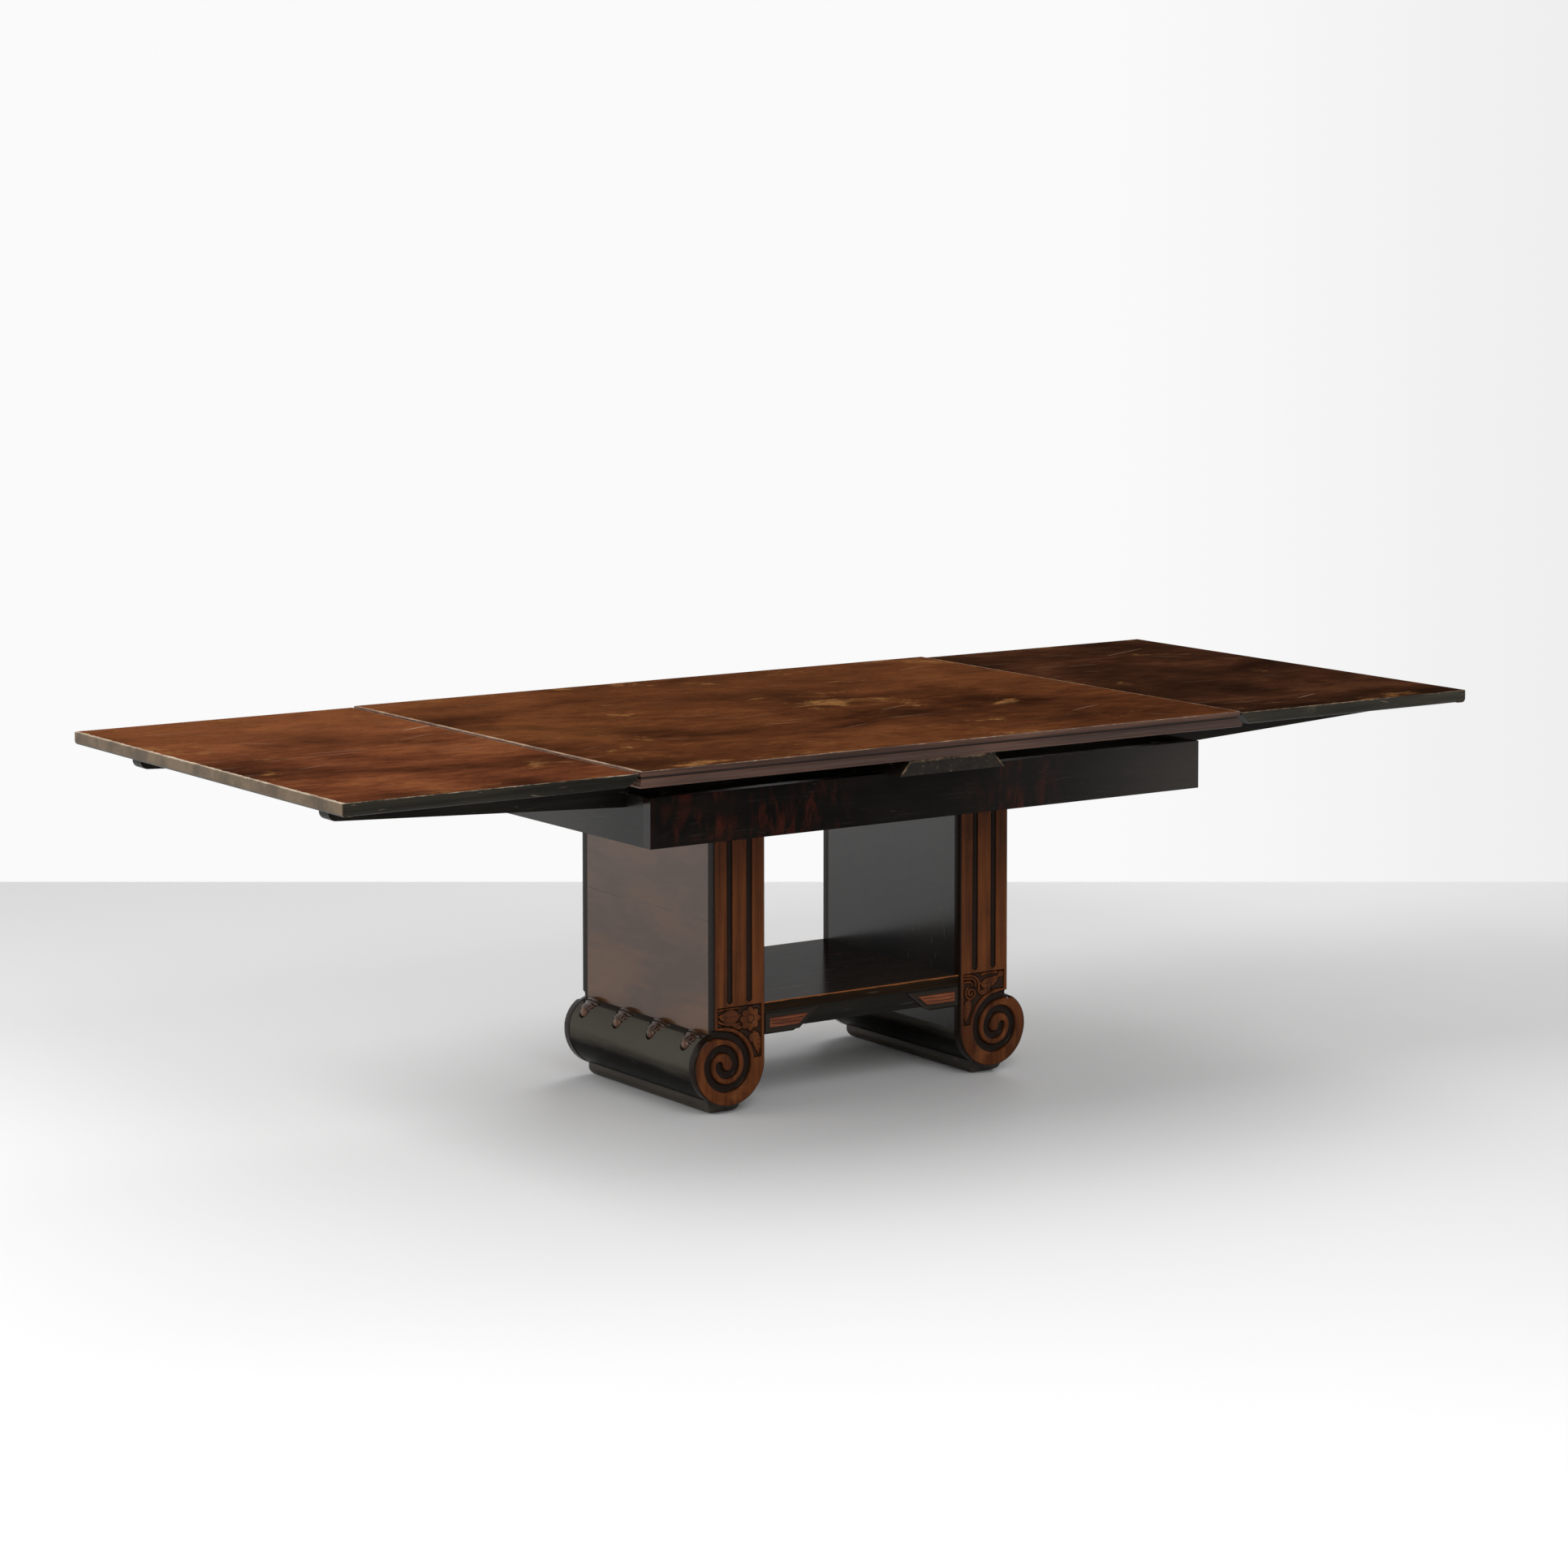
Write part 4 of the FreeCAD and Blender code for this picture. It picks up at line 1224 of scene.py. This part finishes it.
@dataclass
class Frame(Assembly):
    """The apron box with its centre board and inner timbers. Sizes are in metres."""

    board_end: float = 0.559
    board_level: float = 0.747
    board_half: float = 0.108

    def own_finishes(self, palette: Palette) -> dict[str, Finish]:
        """The centre board's chipped polish."""
        return {"board": BoardPolish("board_polish", 0.2, 0.0002,
                                     stops=shades((20, 16, 12), (31, 25, 19), (46, 37, 29)), streaks=60,
                                     stretch=14, seed=15.0, roughness=0.5, rub=0.8, grain=Axis.Y,
                                     end=self.board_end, level=self.board_level, half=self.board_half)}

    def node_finishes(self) -> dict[str, str]:
        """The frame's nodes."""
        return {"front_apron_rail": "apron", "rear_apron_rail": "apron", "left_end_rail": "end_rail",
                "right_end_rail": "end_rail", "centre_board": "board", "corner_blocks": "inner",
                "bearer_guides": "inner", "left_pedestal_cap": "inner", "right_pedestal_cap": "inner",
                "centre_board_screws": "steel", "pedestal_screws": "steel"}


@dataclass
class Pedestal(Assembly):
    """A slab pedestal on a scroll, with carved stiles and a row of drop ornaments. Sizes are in mm."""

    # Each stroke: its cut, where it starts, bends to and ends, its width and its share of the field's depth.
    DROOP: ClassVar[Stroke] = (leaf_relief, (276, 166), (267, 150), (264, 118), 11.0, 1.0)
    STROKES: ClassVar[dict[Carving, tuple[Stroke, ...]]] = {
        Carving.FLOWER: ((leaf_relief, (311, 203), (334, 199), (362, 206), 16.0, 1.0),
                         (ridge_relief, (364, 217), (334, 222), (311, 218), 2.4, 0.8),
                         (ridge_relief, (364, 196), (344, 182), (312, 186), 2.6, 0.8),
                         (leaf_relief, (304, 178), (316, 177), (331, 184), 5.0, 0.85),
                         (leaf_relief, (280, 163), (285, 154), (283, 139), 5.0, 0.85)),
        Carving.SCROLL: ((ridge_relief, (260, 219), (306, 220), (298, 184), 3.0, 1.0),
                         (ridge_relief, (260, 212), (294, 214), (290, 194), 2.8, 0.95),
                         (ridge_relief, (260, 204), (282, 207), (280, 198), 2.6, 0.9),
                         (leaf_relief, (305, 199), (324, 190), (352, 211), 13.0, 1.0),
                         (ridge_relief, (306, 217), (326, 221), (346, 218), 2.8, 0.85),
                         (leaf_relief, (297, 180), (312, 176), (332, 184), 6.0, 0.85)),
    }
    side: Side
    carving: Carving
    inner: float = 249.0
    outer: float = 374.0
    top: float = 615.0
    front: float = -254.0
    thickness: float = 22.0
    bowl: tuple[float, float, float] = (335.0, 104.0, 86.0)
    curl: tuple[float, float, float] = (354.0, 104.0, 67.0)
    curl_step: float = 14.0
    groove: tuple[float, float, float] = (5.0, 11.0, 8.0)
    groove_sink: float = 5.0
    flute_places: tuple[float, float] = (287.5, 335.5)
    flute_radius: float = 6.6
    flute_ends: tuple[float, float] = (236.0, 599.0)
    field_top: float = 223.0
    field_low: float = 112.0
    field_margin: float = 8.0
    field_roll: float = 11.0
    field_depth: float = 2.8
    field_line: float = 2.2
    trench: float = 5.4
    plain_top: float = 12.0
    edge_round: float = 5.0
    drop_angle: float = 54.0
    drop_sink: float = 6.0
    drop_sizes: tuple[float, float, float, float, float] = (31.0, 14.0, 24.5, 17.0, 11.0)
    drop_proud: float = 11.0
    drop_count: int = 4
    drop_spacing: float = 130.0
    drop_points: int = 96
    drop_ribs: int = 16
    drop_crease: float = 55.0
    drop_gap: float = 0.2
    beads: int = 20
    bead_radius: float = 2.3
    bead_inset: float = 2.2
    bead_level: float = 6.2
    grid: float = 0.8
    curl_columns: int = 38
    row_bands: tuple[tuple[float, float, int], ...] = (
        (18, 104, 66), (104.7, 230, 170), (231.2, 243, 11), (252, 588, 30))
    top_rows: tuple[float, int] = (592.0, 22)

    def inside(self, x: np.ndarray, z: np.ndarray) -> np.ndarray:
        """How far a place lies inside the stile's outline.

        Args:
            x: Places across.
            z: Places up.

        Returns:
            The distance at each place.
        """
        shank = np.minimum(np.minimum(x - self.inner, self.outer - x), self.top - z)
        curl = self.curl[2] - np.hypot(x - self.curl[0], z - self.curl[1])
        upper = np.where(x > self.curl[0], np.maximum(shank, np.minimum(curl, x - self.inner)), shank)
        lower = self.bowl[2] - np.hypot(x - self.bowl[0], z - self.bowl[1])
        return np.where(z >= self.bowl[1], upper, lower)

    def spiral(self) -> np.ndarray:
        """The middle of the volute's groove, from the outer edge inwards.

        Returns:
            Points along it.
        """
        centre, level, radius = self.curl
        sink = self.groove_sink
        first = math.degrees(math.acos((self.outer - centre) / radius)) - 6.0
        turn = np.linspace(first, 180.0, 40)
        reach = radius + 1.0 - (sink + 1.0) * smooth(first, first + 32.0, turn)
        turn = np.radians(turn)
        points = [np.stack([centre + reach * np.cos(turn), level + reach * np.sin(turn)], axis=1)]
        for half in range(3):
            way = -1 if half % 2 == 0 else 1
            centre, radius = centre + way * self.curl_step, radius - self.curl_step
            turn = np.radians(np.linspace(180.0, 360.0, 40) + (0.0 if way < 0 else 180.0))
            reach = radius - sink
            points.append(np.stack([centre + reach * np.cos(turn), level + reach * np.sin(turn)], axis=1))
        return np.concatenate(points)

    def field(self, x: np.ndarray, z: np.ndarray) -> np.ndarray:
        """How far a place lies inside the sunk field.

        Args:
            x: Places across.
            z: Places up.

        Returns:
            The distance at each place.
        """
        left, right = self.inner + self.field_margin, self.outer - self.field_margin
        sides = np.minimum.reduce([x - left, right - x, self.field_top - z, z - self.field_low])
        curl = np.hypot(x - self.curl[0], z - self.curl[1])
        return np.minimum(sides, curl - self.curl[2] - self.field_roll)

    def ornament(self, x: np.ndarray, z: np.ndarray) -> np.ndarray:
        """The carving's height above the sunk field's floor.

        Args:
            x: Places across.
            z: Places up.

        Returns:
            The height at each place.
        """
        rise = self.field_depth
        parts = [cut(bent(start, middle, end), width, rise * share, x, z)
                 for cut, start, middle, end, width, share in (self.DROOP, *self.STROKES[self.carving])]
        if self.carving is Carving.FLOWER:
            parts.append(flower_relief((284, 193), 26.0, rise, x, z))
        else:
            parts += [flower_relief((357, 213), 8.0, rise * 0.9, x, z),
                      ridge_relief(coil((278, 180), 15.0, 1.7, 2.2), 2.9, rise, x, z)]
        return np.maximum.reduce(parts)

    def relief(self, x: np.ndarray, z: np.ndarray) -> tuple[np.ndarray, np.ndarray]:
        """The stile's face: rounded arrises, flutes, groove, sunk field and carving.

        Args:
            x: Places across.
            z: Places up.

        Returns:
            The height and the share of dark stain and painted shade at each place.
        """
        inside = self.inside(x, z)
        edge = np.clip(inside, 0, self.edge_round)
        drop = np.maximum(self.edge_round ** 2 - (self.edge_round - edge) ** 2, 0)
        round_off = self.edge_round - np.sqrt(drop)
        below = z <= self.top - self.plain_top
        height = np.where(below, -0.8 * round_off, 0.0)
        stain = np.where(below, 0.9 * (1 - smooth(1.0, 5.0, inside)), 0.0)
        low, high = self.flute_ends
        for place in self.flute_places:
            share = np.hypot(x - place, z - np.clip(z, low, high)) / self.flute_radius
            height -= self.flute_radius * np.sqrt(np.clip(1 - share ** 2, 0, 1))
            # Painted shade in the flutes.
            stain = np.maximum(stain, 1 - smooth(0.8, 1.25, share))
        near = z < self.field_top
        far = np.full(x.shape, 99.0)
        far[near], _ = along_curve(self.spiral(), x[near], z[near])
        height -= self.groove[2] * (1 - smooth(self.groove[0], self.groove[1], far))
        # Painted shade in the volute's groove.
        stain = np.maximum(stain, 1 - smooth(self.groove[1] * 0.55, self.groove[1] * 0.98, far))
        field = self.field(x, z)
        carved = np.zeros(x.shape)
        raised = np.minimum(self.ornament(x[near], z[near]), self.field_depth)
        carved[near] = raised * (field[near] >= self.field_line)
        line = outlined(carved > 0.2) | (field < self.field_line)
        sunk = np.where(line, self.trench, self.field_depth) - carved
        # Painted shade: full in the trench round the carving, strong on the sunk field's floor, fading up the
        # carving.
        laid = np.where(line, 1.0, 0.75 - 0.75 * carved / self.field_depth)
        share = smooth(0.0, 1.2, field)
        return height - share * sunk, np.maximum(stain, share * laid)

    def build_stiles(self) -> list[bpy.types.Object]:
        """Carves the front and rear stiles.

        Returns:
            The two stiles.
        """
        columns = np.concatenate([np.arange(self.inner, self.outer, self.grid),
                                  np.linspace(self.outer, self.curl[0] + self.curl[2], self.curl_columns)])
        start, count = self.top_rows
        bands = (*self.row_bands, (start, self.top, count))
        rows = np.concatenate([np.linspace(*band) for band in bands])
        board = ReliefBoard(columns, rows, self.inside, self.relief, self.front, self.front + self.thickness)
        pieces = []
        for word, way in (("front", 1), ("rear", -1)):
            node = f"{self.side.word}_{word}_stile"
            mesh = board.mesh(node, self.side.value, way)
            pieces.append(new_piece(f"{node}_carved", mesh, "base", "mahogany", node))
        return pieces

    def drop_mesh(self) -> bpy.types.Mesh:
        """One drop ornament along -Z from the origin: flared cap, lipped and ribbed cup, bud.

        Returns:
            Its mesh, in metres.
        """
        cap, cap_length, cup, cup_length, tip = self.drop_sizes
        end = cap_length + cup_length
        # Each ring: how far down, its radius, the ribs' depth and the share of dark stain and painted shade.
        rings = [(0.0, cap * 0.55, 0, 0.7), (0.0, cap, 0, 0.7), (4.5, cap - 0.6, 0, 0.45),
                 (cap_length - 3.4, cup + 2.4, 0, 0.5), (cap_length - 2.2, cup - 1.8, 0, 1.0),
                 (cap_length, cup - 1.8, 0, 1.0), (cap_length + 0.6, cup, 0, 0.1),
                 (cap_length + 3.2, cup, 0, 0.1), (cap_length + 3.8, cup - 1.4, 0.3, 1.0)]
        for part in np.linspace(0.1, 0.96, 8):
            radius = tip + (cup - 1.4 - tip) * math.sqrt(1 - part ** 2)
            rings.append((cap_length + 3.8 + part * (cup_length - 6.0), radius, 1.0, 1.0))
        rings += [(end - 1.6, tip - 0.8, 0.0, 1.0), (end - 0.8, tip - 1.6, 0.0, 1.0)]
        for turn in np.linspace(-0.1, 1.45, 9):
            rings.append((end + tip * math.sin(turn), tip * math.cos(turn), 0.0, 0.1))
        count = self.drop_points
        angles = np.linspace(0, 2 * np.pi, count, endpoint=False)
        wave = np.cos(angles * self.drop_ribs)
        shape = bmesh.new()
        layer = shape.verts.layers.float.new("stain")
        loops = []
        for level, radius, rib, dark in rings:
            flat = min(1.0, self.drop_proud / radius)
            loops.append([shape.verts.new((r * flat * math.cos(a) / MM, r * math.sin(a) / MM, -level / MM))
                          for r, a in zip(radius + rib * wave, angles)])
            for point, side in zip(loops[-1], wave):
                # Painted shade in the hollows between the ribs.
                point[layer] = dark if rib < 0.5 else dark * (0.5 - 0.5 * side)
        for upper, lower in zip(loops, loops[1:]):
            for k in range(count):
                after = (k + 1) % count
                shape.faces.new((upper[k], upper[after], lower[after], lower[k])).smooth = True
        shape.faces.new(loops[0])
        shape.faces.new(loops[-1])
        bmesh.ops.recalc_face_normals(shape, faces=shape.faces)
        mesh = bpy.data.meshes.new("drop")
        shape.to_mesh(mesh)
        shape.free()
        mesh.set_sharp_from_angle(angle=math.radians(self.drop_crease))
        return mesh

    def build_drops(self, tree: DropTree, finish: bpy.types.Material,
                    dots: bpy.types.Material) -> bpy.types.Object:
        """Sets the row of drops along the barrel's shoulder.

        Args:
            tree: The tree that makes the row.
            finish: Their material.
            dots: The material of the beads round their caps.

        Returns:
            The row as one piece.
        """
        cap, cap_length, _, cup_length, _ = self.drop_sizes
        way, lean = self.side.value, math.radians(self.drop_angle)
        reach = self.curl[2] - self.drop_sink
        half = (cap_length + cup_length) / 2
        start_x = self.curl[0] + reach * math.cos(lean) - half * math.sin(lean)
        start_z = self.curl[1] + reach * math.sin(lean) + half * math.cos(lean)
        ring = cap - self.bead_inset
        pattern = bpy.data.objects.new("drop_pattern", self.drop_mesh())
        bpy.context.scene.collection.objects.link(pattern)
        first = -(self.drop_count - 1) / 2 * self.drop_spacing
        mesh = tree.grow(f"{self.side.word}_drops", {
            "Drop": pattern, "Count": self.drop_count,
            "Start": (way * start_x / MM, first / MM, start_z / MM),
            "Step": (0.0, self.drop_spacing / MM, 0.0), "Lean": (0.0, -way * lean, 0.0), "Beads": self.beads,
            "Bead Radius": self.bead_radius / MM, "Bead Ring": ring / MM,
            "Bead Level": (0.0, 0.0, -self.bead_level / MM),
            "Bead Squash": (self.drop_proud / ring, 1.0, 1.0), "Finish": finish, "Bead Finish": dots})
        bpy.data.objects.remove(pattern)
        shape = bmesh.new()
        shape.from_mesh(mesh)
        everything = [*shape.verts, *shape.edges, *shape.faces]
        plane = (way * (self.outer + self.drop_gap) / MM, 0.0, 0.0)
        bmesh.ops.bisect_plane(shape, geom=everything, dist=1e-6, clear_inner=True, plane_co=plane,
                               plane_no=(way, 0.0, 0.0))
        bmesh.ops.holes_fill(shape, edges=[edge for edge in shape.edges if edge.is_boundary], sides=0)
        bmesh.ops.dissolve_degenerate(shape, dist=1e-6, edges=shape.edges)
        bmesh.ops.recalc_face_normals(shape, faces=shape.faces)
        shape.to_mesh(mesh)
        shape.free()
        node = f"{self.side.word}_drop_ornaments"
        return new_piece(f"{node}_carved", mesh, "base", "carving", node)

    def build(self, tree: DropTree, palette: Palette) -> None:
        """Builds the carved pieces and dresses them.

        Args:
            tree: The tree that makes a row of drops.
            palette: The finishes.
        """
        for piece in self.build_stiles():
            piece.data.materials.append(palette.material("mahogany"))
        self.build_drops(tree, palette.material("carving"), palette.material("ebonised"))

    def node_finishes(self) -> dict[str, str]:
        """The pedestal's nodes."""
        finishes = {"pedestal_outer_panel": "panel", "pedestal_inner_panel": "inner_panel",
                    "pedestal_blocks": "inner", "front_stile": "mahogany", "rear_stile": "mahogany",
                    "scroll_barrel": "barrel", "drop_ornaments": "carving", "foot_runner": "runner"}
        return {f"{self.side.word}_{part}": key for part, key in finishes.items()}


@dataclass
class Shelf(Assembly):
    """The shelf, its fascias and their carved tablets. Sizes are in mm."""

    end: float = 245.0
    length: float = 132.0
    low: float = 159.0
    high: float = 198.0
    slope: float = 48.1
    front: float = -253.0
    back: float = -247.0
    rim: float = 9.0
    rise: float = 3.0
    lines: tuple[float, float] = (175.0, 182.0)
    line_depth: float = 1.3
    line_width: float = 1.0
    rim_depth: float = 0.9
    grid: float = 1.0
    row_count: int = 53

    def inside(self, x: np.ndarray, z: np.ndarray) -> np.ndarray:
        """How far a place lies inside a tablet's outline.

        Args:
            x: Places across.
            z: Places up.

        Returns:
            The distance at each place.
        """
        tall = self.high - self.low
        beside = (x - self.end + self.length) * tall - (self.high - z) * self.slope
        slant = beside / math.hypot(tall, self.slope)
        return np.minimum(np.minimum(self.end - x, slant), np.minimum(z - self.low, self.high - z))

    def relief(self, x: np.ndarray, z: np.ndarray) -> tuple[np.ndarray, np.ndarray]:
        """The tablet's dark frame and its raised field with two carved lines.

        Args:
            x: Places across.
            z: Places up.

        Returns:
            The height and the share of dark stain and painted shade at each place.
        """
        deep = self.inside(x, z) - self.rim
        field = smooth(-0.4, 1.6, deep)
        height = self.rise * (field - 1) - self.rim_depth * np.exp(-(((deep + self.rim * 0.55) / 1.1) ** 2))
        stain = 1 - field
        for place in self.lines:
            sway = 0.6 * np.sin(x * 0.09 + place)
            cut = np.exp(-(((z - place - sway) / self.line_width) ** 2)) * smooth(2.0, 5.0, deep)
            height -= self.line_depth * cut
            # Painted shade in the carved lines.
            stain = np.maximum(stain, 0.8 * cut)
        return height, stain

    def build(self, palette: Palette) -> None:
        """Carves the two tablets of each fascia.

        Args:
            palette: The finishes.
        """
        columns = np.arange(self.end - self.length, self.end + self.grid / 2, self.grid)
        rows = np.linspace(self.low, self.high, self.row_count)
        board = ReliefBoard(columns, rows, self.inside, self.relief, self.front, self.back)
        for word, way in (("front", 1), ("rear", -1)):
            pair = bmesh.new()
            for side in Side:
                mesh = board.mesh("tablet", side.value, way)
                pair.from_mesh(mesh)
                bpy.data.meshes.remove(mesh)
            node = f"shelf_{word}_insets"
            mesh = bpy.data.meshes.new(node)
            pair.to_mesh(mesh)
            pair.free()
            mesh.materials.append(palette.material("tablet"))
            new_piece(f"{node}_carved", mesh, "base", "carving", node)

    def node_finishes(self) -> dict[str, str]:
        """The shelf's nodes."""
        return {"shelf_board": "shelf", "shelf_front_fascia": "ebonised", "shelf_rear_fascia": "ebonised",
                "shelf_front_insets": "tablet", "shelf_rear_insets": "tablet", "shelf_cleats": "inner",
                "shelf_screws": "steel"}


@dataclass
class Studio:
    """Floor, lamps, world and camera. Sizes are in metres, and the camera's are in degrees and mm."""

    eye: tuple[float, float, float] = (-5.1025, -7.4065, 2.0062)
    turn: float = -34.63
    tilt: float = 86.0
    lens: float = 98.262
    shift: tuple[float, float] = (-0.0101, -0.2277)
    near: float = 4.0
    far: float = 11.3
    surround: tuple[float, float, float, float] = (-4.0, 24.0, 11.0, 0.2)
    ambient: float = 0.35
    half_width: float = 2.5
    white: float = 0.955
    sensor: float = 36.0
    floor_tones: tuple[Colour, Colour] = (tone(241, 241, 241), tone(222, 222, 222))
    room_dark: float = 0.05
    room_rise: Point = (-0.315, -0.225)
    wall_fall: Point = (0.05, 0.20)
    wall_drop: float = 0.1
    lamp_size: float = 3.4
    lamp_aim: tuple[float, float, float] = (0.0, 0.0, 0.5)
    lamps: tuple[tuple[str, tuple[float, float, float], float], ...] = (
        ("left", (-4.8, 1.0, 3.9), 225.0), ("right", (4.0, 3.0, 3.6), 138.0),
        ("front", (-1.5, -5.5, 4.0), 172.0))

    @property
    def ahead(self) -> Vector:
        """The level direction that the camera looks in."""
        angle = math.radians(-self.turn)
        return Vector((math.sin(angle), math.cos(angle), 0.0))

    def build_camera(self) -> None:
        """Sets the camera at the photograph's place."""
        data = bpy.data.cameras.new("camera")
        data.lens, data.sensor_width = self.lens, self.sensor
        data.shift_x, data.shift_y = self.shift
        camera = bpy.data.objects.new("camera", data)
        camera.location = self.eye
        camera.rotation_euler = Euler((math.radians(self.tilt), 0.0, math.radians(self.turn)))
        bpy.context.scene.collection.objects.link(camera)
        bpy.context.scene.camera = camera

    def floor_material(self) -> bpy.types.Material:
        """A pale floor, greyed towards the wall by painted shade.

        Returns:
            The material.
        """
        material = bpy.data.materials.new("studio_floor")
        material.use_nodes = True
        recipe = Recipe(material.node_tree)
        deep = recipe.along(self.ahead, recipe.place())
        start = Vector(self.eye).dot(self.ahead)
        cloud = recipe.noise((1.2, 1.2, 1.2), 5.0, 4.0)
        # Painted shade: the floor darkens with distance towards the wall.
        shade = (deep - start).rise(6.0, self.far) + (cloud - 0.5) * 0.06
        colour = recipe.ramp(shade, tuple(enumerate(self.floor_tones)))
        shader = recipe.node("ShaderNodeBsdfPrincipled", {}, {
            "Base Color": colour, "Roughness": 0.6 + cloud * 0.2, "Specular IOR Level": 0.1})
        recipe.end("ShaderNodeOutputMaterial", shader)
        return material

    def floor_piece(self, name: str, outline: Sequence[tuple[float, float]],
                    material: bpy.types.Material) -> bpy.types.Object:
        """Lays a flat piece of floor.

        Args:
            name: Its name.
            outline: Its corners, each ahead of and across from the camera, in metres.
            material: Its paint.

        Returns:
            The floor object.
        """
        way, eye = self.ahead, Vector((self.eye[0], self.eye[1], 0.0))
        across = Vector((way.y, -way.x, 0.0))
        shape = bmesh.new()
        face = shape.faces.new([shape.verts.new(eye + way * deep + across * wide) for deep, wide in outline])
        face.normal_update()
        if face.normal.z < 0:
            face.normal_flip()
        mesh = bpy.data.meshes.new(name)
        shape.to_mesh(mesh)
        shape.free()
        mesh.materials.append(material)
        floor = bpy.data.objects.new(name, mesh)
        bpy.context.scene.collection.objects.link(floor)
        return floor

    def build_floor(self) -> None:
        """Lays the floor up to the wall line, and a wide surround that throws no light back."""
        paint = self.floor_material()
        near, far, wide = self.near, self.far, self.half_width
        inner = ((far, wide), (near, wide), (near, -wide), (far, -wide))
        self.floor_piece("floor", inner, paint)
        back, beyond, reach, opening = self.surround
        outer = ((beyond, -beyond * opening), (beyond, -reach), (back, -reach), (back, reach),
                 (beyond, reach), (beyond, beyond * opening))
        outline = (*outer, (far, far * opening), *inner, (far, -far * opening))
        surround = self.floor_piece("surround", outline, paint)
        surround.visible_diffuse = surround.visible_glossy = False

    def build_lamp(self, name: str, place: Sequence[float], power: float) -> None:
        """Hangs a square soft lamp that faces the table.

        Args:
            name: The lamp's name.
            place: Where it hangs.
            power: Its power, in watts.
        """
        data = bpy.data.lights.new(name, "AREA")
        data.shape, data.size, data.energy = "SQUARE", self.lamp_size, power
        lamp = bpy.data.objects.new(name, data)
        lamp.location = place
        lamp.rotation_euler = (Vector(self.lamp_aim) - Vector(place)).to_track_quat("-Z", "Y").to_euler()
        bpy.context.scene.collection.objects.link(lamp)

    def build_world(self) -> None:
        """White behind the table for the camera and for gloss, dark behind the camera."""
        world = bpy.data.worlds.new("studio")
        world.use_nodes = True
        recipe = Recipe(world.node_tree)
        way = recipe.node("ShaderNodeTexCoord", {}, {}, "Generated")
        room = self.room_dark + recipe.along(self.ahead, way).rise(*self.room_rise) * (1 - self.room_dark)
        camera, glossy, through = (recipe.node("ShaderNodeLightPath", {}, {}, f"Is {name} Ray")
                                   for name in ("Camera", "Glossy", "Transmission"))
        seen = camera | through
        across = recipe.along((self.ahead.y, -self.ahead.x, 0.0), way)
        wall = self.white - across.rise(*self.wall_fall) * self.wall_drop
        level = seen * wall + (1 - seen) * (glossy * room + (1 - glossy) * self.ambient)
        shader = recipe.node("ShaderNodeBackground", {}, {"Color": (1.0, 1.0, 1.0, 1.0), "Strength": level})
        recipe.end("ShaderNodeOutputWorld", shader)
        bpy.context.scene.world = world

    def build(self) -> None:
        """Builds the whole studio."""
        self.build_camera()
        self.build_floor()
        for lamp in self.lamps:
            self.build_lamp(*lamp)
        self.build_world()
        bpy.context.scene.view_settings.view_transform = "Standard"


def main() -> None:
    """Builds every sub-assembly in order."""
    logging.basicConfig(level=logging.INFO, format="%(name)s: %(message)s")
    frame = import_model()
    palette = Palette()
    tree = DropTree()
    Studio().build()
    pedestals = [Pedestal(Side.LEFT, Carving.FLOWER), Pedestal(Side.RIGHT, Carving.SCROLL)]
    for pedestal in pedestals:
        pedestal.build(tree, palette)
    shelf = Shelf()
    shelf.build(palette)
    for part in (TableTop(), Leaf(Side.LEFT), Leaf(Side.RIGHT), Frame(), *pedestals, shelf):
        part.dress(frame, palette)


if __name__ == "__main__":
    main()
